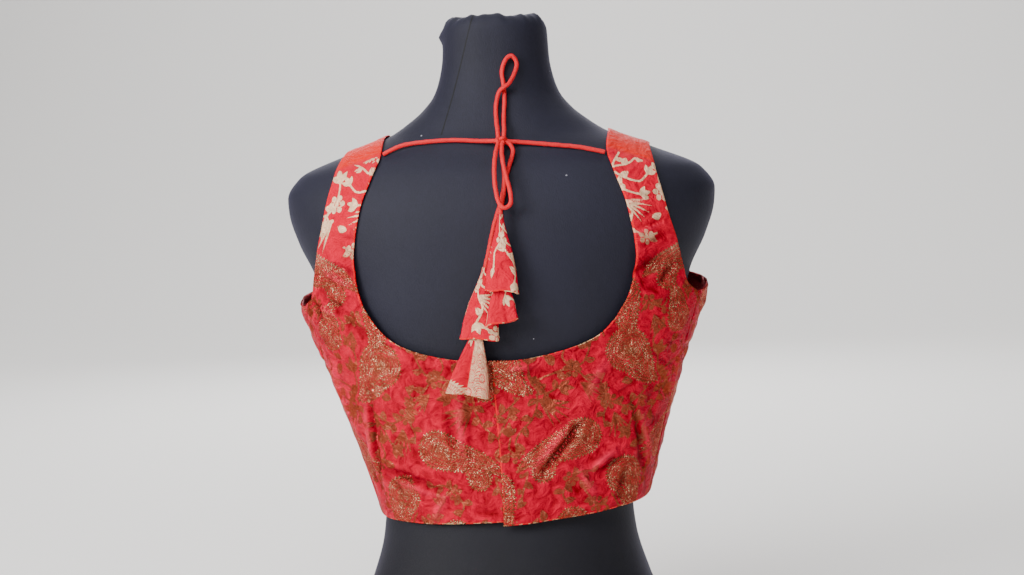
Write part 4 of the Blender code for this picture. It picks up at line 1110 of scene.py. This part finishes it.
BACKS = [  # node, side, centre edge, drop, lift, folds, pattern shift
    ("blouse_back_left", 1, -UNDERLAP, 0.0, no_lift, LEFT_BACK_FOLDS, (76, 26)),
    ("blouse_back_right", -1, -OVERLAP, OVERLAP_DROP, overlap_lift, RIGHT_BACK_FOLDS, (86, 30)),
]
for back_name, side, centre_edge, drop, lift, folds, pattern_shift in BACKS:
    points, faces, reverse, uv, values, area, size = panel_half(
        back_grid(centre_edge, drop), side, folds, lift, strap_row=sum(BACK_ROWS[:2]),
        neck_row=BACK_ROWS[0], pattern_shift=pattern_shift, mirrored=True, open_below=0, plain=PLAIN_BACK)
    back = add_piece(back_name.replace("blouse", "choli"), points, faces, uv, values)
    finish_shell(back, reverse)
    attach(back, "root")
    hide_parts(back_name)


# Blouse front: one panel of the same brocade, cut on the fold with both straps,
# shaped over the bust by stitched darts and seamed to the backs at the sides
# and on the shoulders. Its neck, armholes and hem are turned in.
FRONT_NECK_HEIGHT = 0.398
FRONT_ROWS = (126, 108)  # rows of the body, of the strap
FRONT_COLUMNS = 126
FRONT_NECKLINE = [  # mm: half width, height
    (30, 401), (56, 411), (77, 430), (90, 456), (97.5, 485),
]
FRONT_ARMHOLE = [
    (180, 361), (169, 372), (156, 395), (145, 425), (138, 460), (136.5, 485),
]
FRONT_FOLDS = [  # mm: x, z, half length, half width, lean in degrees, rise
    (74, 215, 45, 11, 0, 3), (125, 325, 30, 10, -70, 2.2), (135, 360, 22, 11, 40, 2),
    (80, 232, 34, 3.2, 2, -1.7), (86, 230, 30, 3.6, 2, 1), (66, 276, 14, 3.2, -34, -0.8),
    (92, 278, 15, 3.2, 36, -0.9), (136, 316, 26, 3.2, -72, -1.6), (138, 323, 24, 3.6, -72, 1),
    (148, 342, 14, 3, -50, -1.1), (152, 352, 12, 2.8, -40, 0.9), (139, 376, 16, 3.2, 38, -1.3),
    (130, 386, 15, 3, 44, 0.9), (118, 412, 12, 2.6, 70, -0.9), (124, 435, 10, 2.4, 78, -1),
    (118, 444, 10, 2.4, 76, 0.8), (28, 350, 22, 5, 18, -0.9), (20, 330, 24, 5, 10, 0.9),
    (40, 205, 20, 4.4, -16, 1), (100, 185, 14, 3.8, 14, -1), (124, 210, 20, 4, 8, 1.2),
    (52, 182, 12, 3.6, -30, -0.8), (14, 250, 26, 5, 4, -0.7),
]


def front_grid():
    """The wearer's left half of the front, from its centre line to the side seam."""
    centre = [BLOUSE.on_side(0, z, False) for z in np.linspace(HEM_HEIGHT, FRONT_NECK_HEIGHT, 12)]
    seam = [side_seam(z, -SEAM_GAP / 2) for z in np.linspace(HEM_HEIGHT, UNDERARM_HEIGHT, 12)]
    neck, arm = edge_points(FRONT_NECKLINE, False), edge_points(FRONT_ARMHOLE, False)
    inner = [centre, [centre[-1]] + neck + [shoulder_end(NECK_EDGE, -SEAM_GAP / 2)]]
    outer = [seam, [seam[-1]] + arm + [shoulder_end(ARM_EDGE, -SEAM_GAP / 2)]]
    return panel_surface(inner, outer, FRONT_ROWS, FRONT_COLUMNS)


grid = front_grid()
halves = [panel_half(grid, side, FRONT_FOLDS, no_lift, strap_row=FRONT_ROWS[0],
                     neck_row=FRONT_ROWS[0], pattern_shift=(20, 40), mirrored=False,
                     open_below=FRONT_ROWS[0], plain=PLAIN_FRONT)
          for side in (1, -1)]
first_count = len(halves[0][0])
points = np.vstack([half[0] for half in halves])
faces = halves[0][1] + [[n + first_count for n in face] for face in halves[1][1]]
reverse = halves[0][2] + halves[1][2]
uv = np.vstack([half[3] for half in halves])
values = {key: np.concatenate([half[4][key] for half in halves]) for key in halves[0][4]}
front = add_piece("choli_front", points, faces, uv, values)
finish_shell(front, reverse)
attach(front, "root")
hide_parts("blouse_front")


# Hanging cones (latkans): rolled cones of the blouse's brocade, seamed down one
# side, with a turned hem and open below. Two are threaded on each tail of the
# tie cord, the second hanging out of the first.
CONE_CLOTH = 0.0009
CONE_SIDES = 96
CONE_RINGS = 84
CONE_HEM_LIP = 0.0004  # the turned hem thickens the cloth by this much
INNER_FROM = 0.45  # the inner wall begins this far down the cone
UPPER_HOLLOW = 0.26
FLAT_SHARE = 0.8  # of the half width, so the pattern keeps its size at the hem
CHART_START = (2, 284)  # mm, the pattern's place at the first cone's tip
CHART_SHIFT = 5  # mm, from one cone to the next
GOLDWORK = (1.45, 3.1)  # radians round the lowest cone that one large motif fills
CONE_FLARES = {  # along, wide and deep, each as a share of the whole
    "upper": [(0.00, 0.17, 0.44), (0.10, 0.22, 0.50), (0.30, 0.44, 0.66),
              (0.50, 0.69, 0.80), (0.75, 0.90, 0.92), (1.00, 1.00, 1.00)],
    "lower": [(0.00, 0.13, 0.34), (0.25, 0.14, 0.34), (0.40, 0.24, 0.38), (0.48, 0.32, 0.42),
              (0.64, 0.58, 0.50), (0.80, 0.82, 0.80), (1.00, 1.00, 1.00)],
}
CONES = [  # mm: node, tip, foot, foot of the cone it hangs in, half sizes, hem tilt, folds
    ("short_cone_upper", (-9.1, 108.2, 435.7), (-9.1, 116.6, 369.9), None, (14.5, 5.6),
     -0.10, [(0.55, 0.30, -0.22), (2.3, 0.35, 0.10), (4.4, 0.4, -0.12)]),
    ("short_cone_lower", (-9.1, 108.2, 435.7), (-8.2, 118.6, 343.3), (-9.1, 116.6, 369.9), (13.9, 5.4),
     0.22, [(2.1, 0.45, -0.30), (0.9, 0.30, 0.12), (4.6, 0.5, -0.15)]),
    ("long_cone_upper", (4.9, 109.7, 390.9), (12.3, 107.1, 329.2), None, (16.8, 6.0),
     0.06, [(0.9, 0.25, -0.12), (2.5, 0.40, 0.10), (5.2, 0.4, -0.12)]),
    ("long_cone_lower", (4.9, 109.7, 390.9), (23.8, 106.6, 280.9), (12.3, 107.1, 329.2), (18.5, 6.0),
     0.02, [(1.35, 0.16, -0.62), (2.3, 0.45, 0.16), (0.6, 0.35, 0.16), (4.7, 0.5, -0.2)]),
]
turn = np.linspace(0, 2 * math.pi, CONE_SIDES, endpoint=False)


def cone_wall(rows, wall, tip, foot, half, flare, tilt, folds):
    """Rings of points of one wall of a cone, this far inside its outer wall."""
    length = np.linalg.norm(foot - tip)
    axis = (foot - tip) / length
    wide_way = np.cross(axis, [0, 1, 0])
    wide_way /= np.linalg.norm(wide_way)
    deep_way = np.cross(wide_way, axis)
    wave = np.zeros((len(rows), CONE_SIDES))
    for at, width, amount in folds:
        away = (turn - at + math.pi) % (2 * math.pi) - math.pi
        wave += amount * np.exp(-(away / width)**2)[None, :] * ramp(0.15, 0.95, rows)[:, None]
    wide, deep = (np.interp(rows, flare[:, 0], flare[:, k + 1])[:, None] * half[k] for k in (0, 1))
    lip = CONE_HEM_LIP * ramp(0.93, 0.97, rows)[:, None]
    x = (wide * (1 + wave) + lip - wall) * np.cos(turn)
    y = (deep * (1 + wave) + lip - wall) * np.sin(turn)
    hem = tilt * half[0] * np.cos(turn) * ramp(0.4, 1.0, rows)[:, None]
    hem = hem + 0.0008 * np.sin(3 * turn + 7 * tilt) * ramp(0.6, 1.0, rows)[:, None]
    along = (rows * length)[:, None] + hem
    return tip + axis * along[..., None] + wide_way * x[..., None] + deep_way * y[..., None]


cone_pieces = {}
for cone_name, tip, foot, upper_foot, half, tilt, folds in CONES:
    tip, foot = np.array([tip, foot]) / 1000 + [0, AXIS_Y, 0]
    if upper_foot:
        tip = tip + (np.array(upper_foot) / 1000 + [0, AXIS_Y, 0] - tip) * UPPER_HOLLOW
    half = np.array(half) / 1000
    flare = np.array(CONE_FLARES["lower" if upper_foot else "upper"])
    length = float(np.linalg.norm(foot - tip))
    rows = np.linspace(0, 1, CONE_RINGS + 1)
    inner_rows = rows[rows >= INNER_FROM]
    outer_wall = cone_wall(rows, 0, tip, foot, half, flare, tilt, folds)
    inner_wall = cone_wall(inner_rows, CONE_CLOTH, tip, foot, half, flare, tilt, folds)
    points = np.vstack([outer_wall.reshape(-1, 3), inner_wall.reshape(-1, 3)])
    offset = len(rows) * CONE_SIDES
    outside = ring_faces(len(rows), CONE_SIDES)
    inside = ring_faces(len(inner_rows), CONE_SIDES, offset)
    n = np.arange(CONE_SIDES)
    m = np.roll(n, -1)
    outer_hem, inner_hem = offset - CONE_SIDES, len(points) - CONE_SIDES
    rim = np.stack([outer_hem + n, outer_hem + m, inner_hem + m, inner_hem + n], axis=1).tolist()
    faces = outside + inside + rim + [n.tolist(), (offset + n).tolist()]
    reverse = [False] * len(outside) + [True] * len(inside) + [False] * len(rim) + [False, True]
    around = half[0] * FLAT_SHARE
    all_rows = np.concatenate([rows, inner_rows])
    flat_x = np.tile(turn, len(all_rows)) * around
    flat_y = np.repeat(all_rows, CONE_SIDES) * length
    shift = CHART_SHIFT * len(cone_pieces)
    woven, feather, barb = pattern_at(flat_x * 1000 + CHART_START[0] + shift,
                                      CHART_START[1] - shift - flat_y * 1000)
    if cone_name == "long_cone_lower":
        goldwork = (flat_x > GOLDWORK[0] * around) & (flat_x < GOLDWORK[1] * around)
        drawn = 6.5 + 3.5 * np.sin(turn * 5)[None, :] * np.sin(all_rows * 21)[:, None]
        feather = np.where(goldwork, drawn.ravel(), feather)
        barb = np.where(goldwork, flat_y * 900 + 9 * np.sin(flat_x * 260), barb)
    to_hem = (length - flat_y) * 1000
    # Painted light: every cone is painted as lit all over, so its ground is lighter and its thread cream.
    values = {"zari": woven, "plume": feather, "barb": barb, "edge": to_hem, "trim": to_hem,
              "lit": np.ones(len(points))}
    cone = add_piece(cone_name.replace("cone", "latkan"), points, faces,
                     np.stack([flat_x, flat_y], axis=1), values)
    finish_shell(cone, reverse)
    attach(cone, "root")
    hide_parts(cone_name)
    cone_pieces[cone_name] = cone


# Studio: a plain pale paper, laid on the floor and swept up far behind the object, and
# soft light from large panels. The main one stands high on the left behind the
# camera, one lights the paper, and weaker ones serve the other sides.
SWEEP_HALF = 60.0  # half width of the paper
SWEEP_NEAR = 40.0  # how far it reaches behind the camera
SWEEP_START = -3.0  # it begins to rise here
SWEEP_RADIUS = 3.5
SWEEP_TOP = 14.0
AIM = (0, AXIS_Y, 0.33)
PANELS = [  # place, target, size, watts, colour
    ((1.35, 1.45, 1.15), AIM, 0.9, 56, "#FFFFFF"),
    ((0.25, 1.25, 1.65), AIM, 0.9, 19, "#FFFFFF"),
    ((-1.6, 1.4, 0.9), AIM, 1.3, 2, "#F4F6FF"),
    ((0.2, -1.9, 1.3), AIM, 1.3, 24, "#FFFFFF"),
    ((0.0, -2.2, 4.2), (0, -5.6, 0.8), 4.0, 260, "#FFFFFF"),
]
bend = np.linspace(0, math.pi / 2, 33)
profile = np.vstack([
    [[SWEEP_NEAR, 0]],
    np.stack([SWEEP_START - SWEEP_RADIUS * np.sin(bend), SWEEP_RADIUS * (1 - np.cos(bend))], axis=1),
    [[SWEEP_START - SWEEP_RADIUS, SWEEP_TOP]]])
points = [[x, y, z] for y, z in profile for x in (-SWEEP_HALF, SWEEP_HALF)]
faces = [[2 * k, 2 * k + 2, 2 * k + 3, 2 * k + 1] for k in range(len(profile) - 1)]
floor = add_piece("studio_paper", points, faces)
paper, tree = new_material("pale_matt_paper")
node("OutputMaterial", "", {
    "Surface": node("BsdfPrincipled", "BSDF", {"Base Color": "#F4F2F0", "Roughness": 0.95})})
floor.data.materials.append(paper)
for place, target, size, watts, hue in PANELS:
    data = bpy.data.lights.new("panel_light", "AREA")
    data.size = size
    data.energy = watts
    data.color = linear(hue)[:3]
    lamp = bpy.data.objects.new("panel_light", data)
    bpy.context.scene.collection.objects.link(lamp)
    lamp.location = place
    lamp.rotation_euler = (Vector(target) - Vector(place)).to_track_quat("-Z", "Y").to_euler()
world = bpy.data.worlds.new("pale_studio")
world.use_nodes = True
world.node_tree.nodes["Background"].inputs["Color"].default_value = linear("#E8E6E4")
world.node_tree.nodes["Background"].inputs["Strength"].default_value = 0.26
bpy.context.scene.world = world
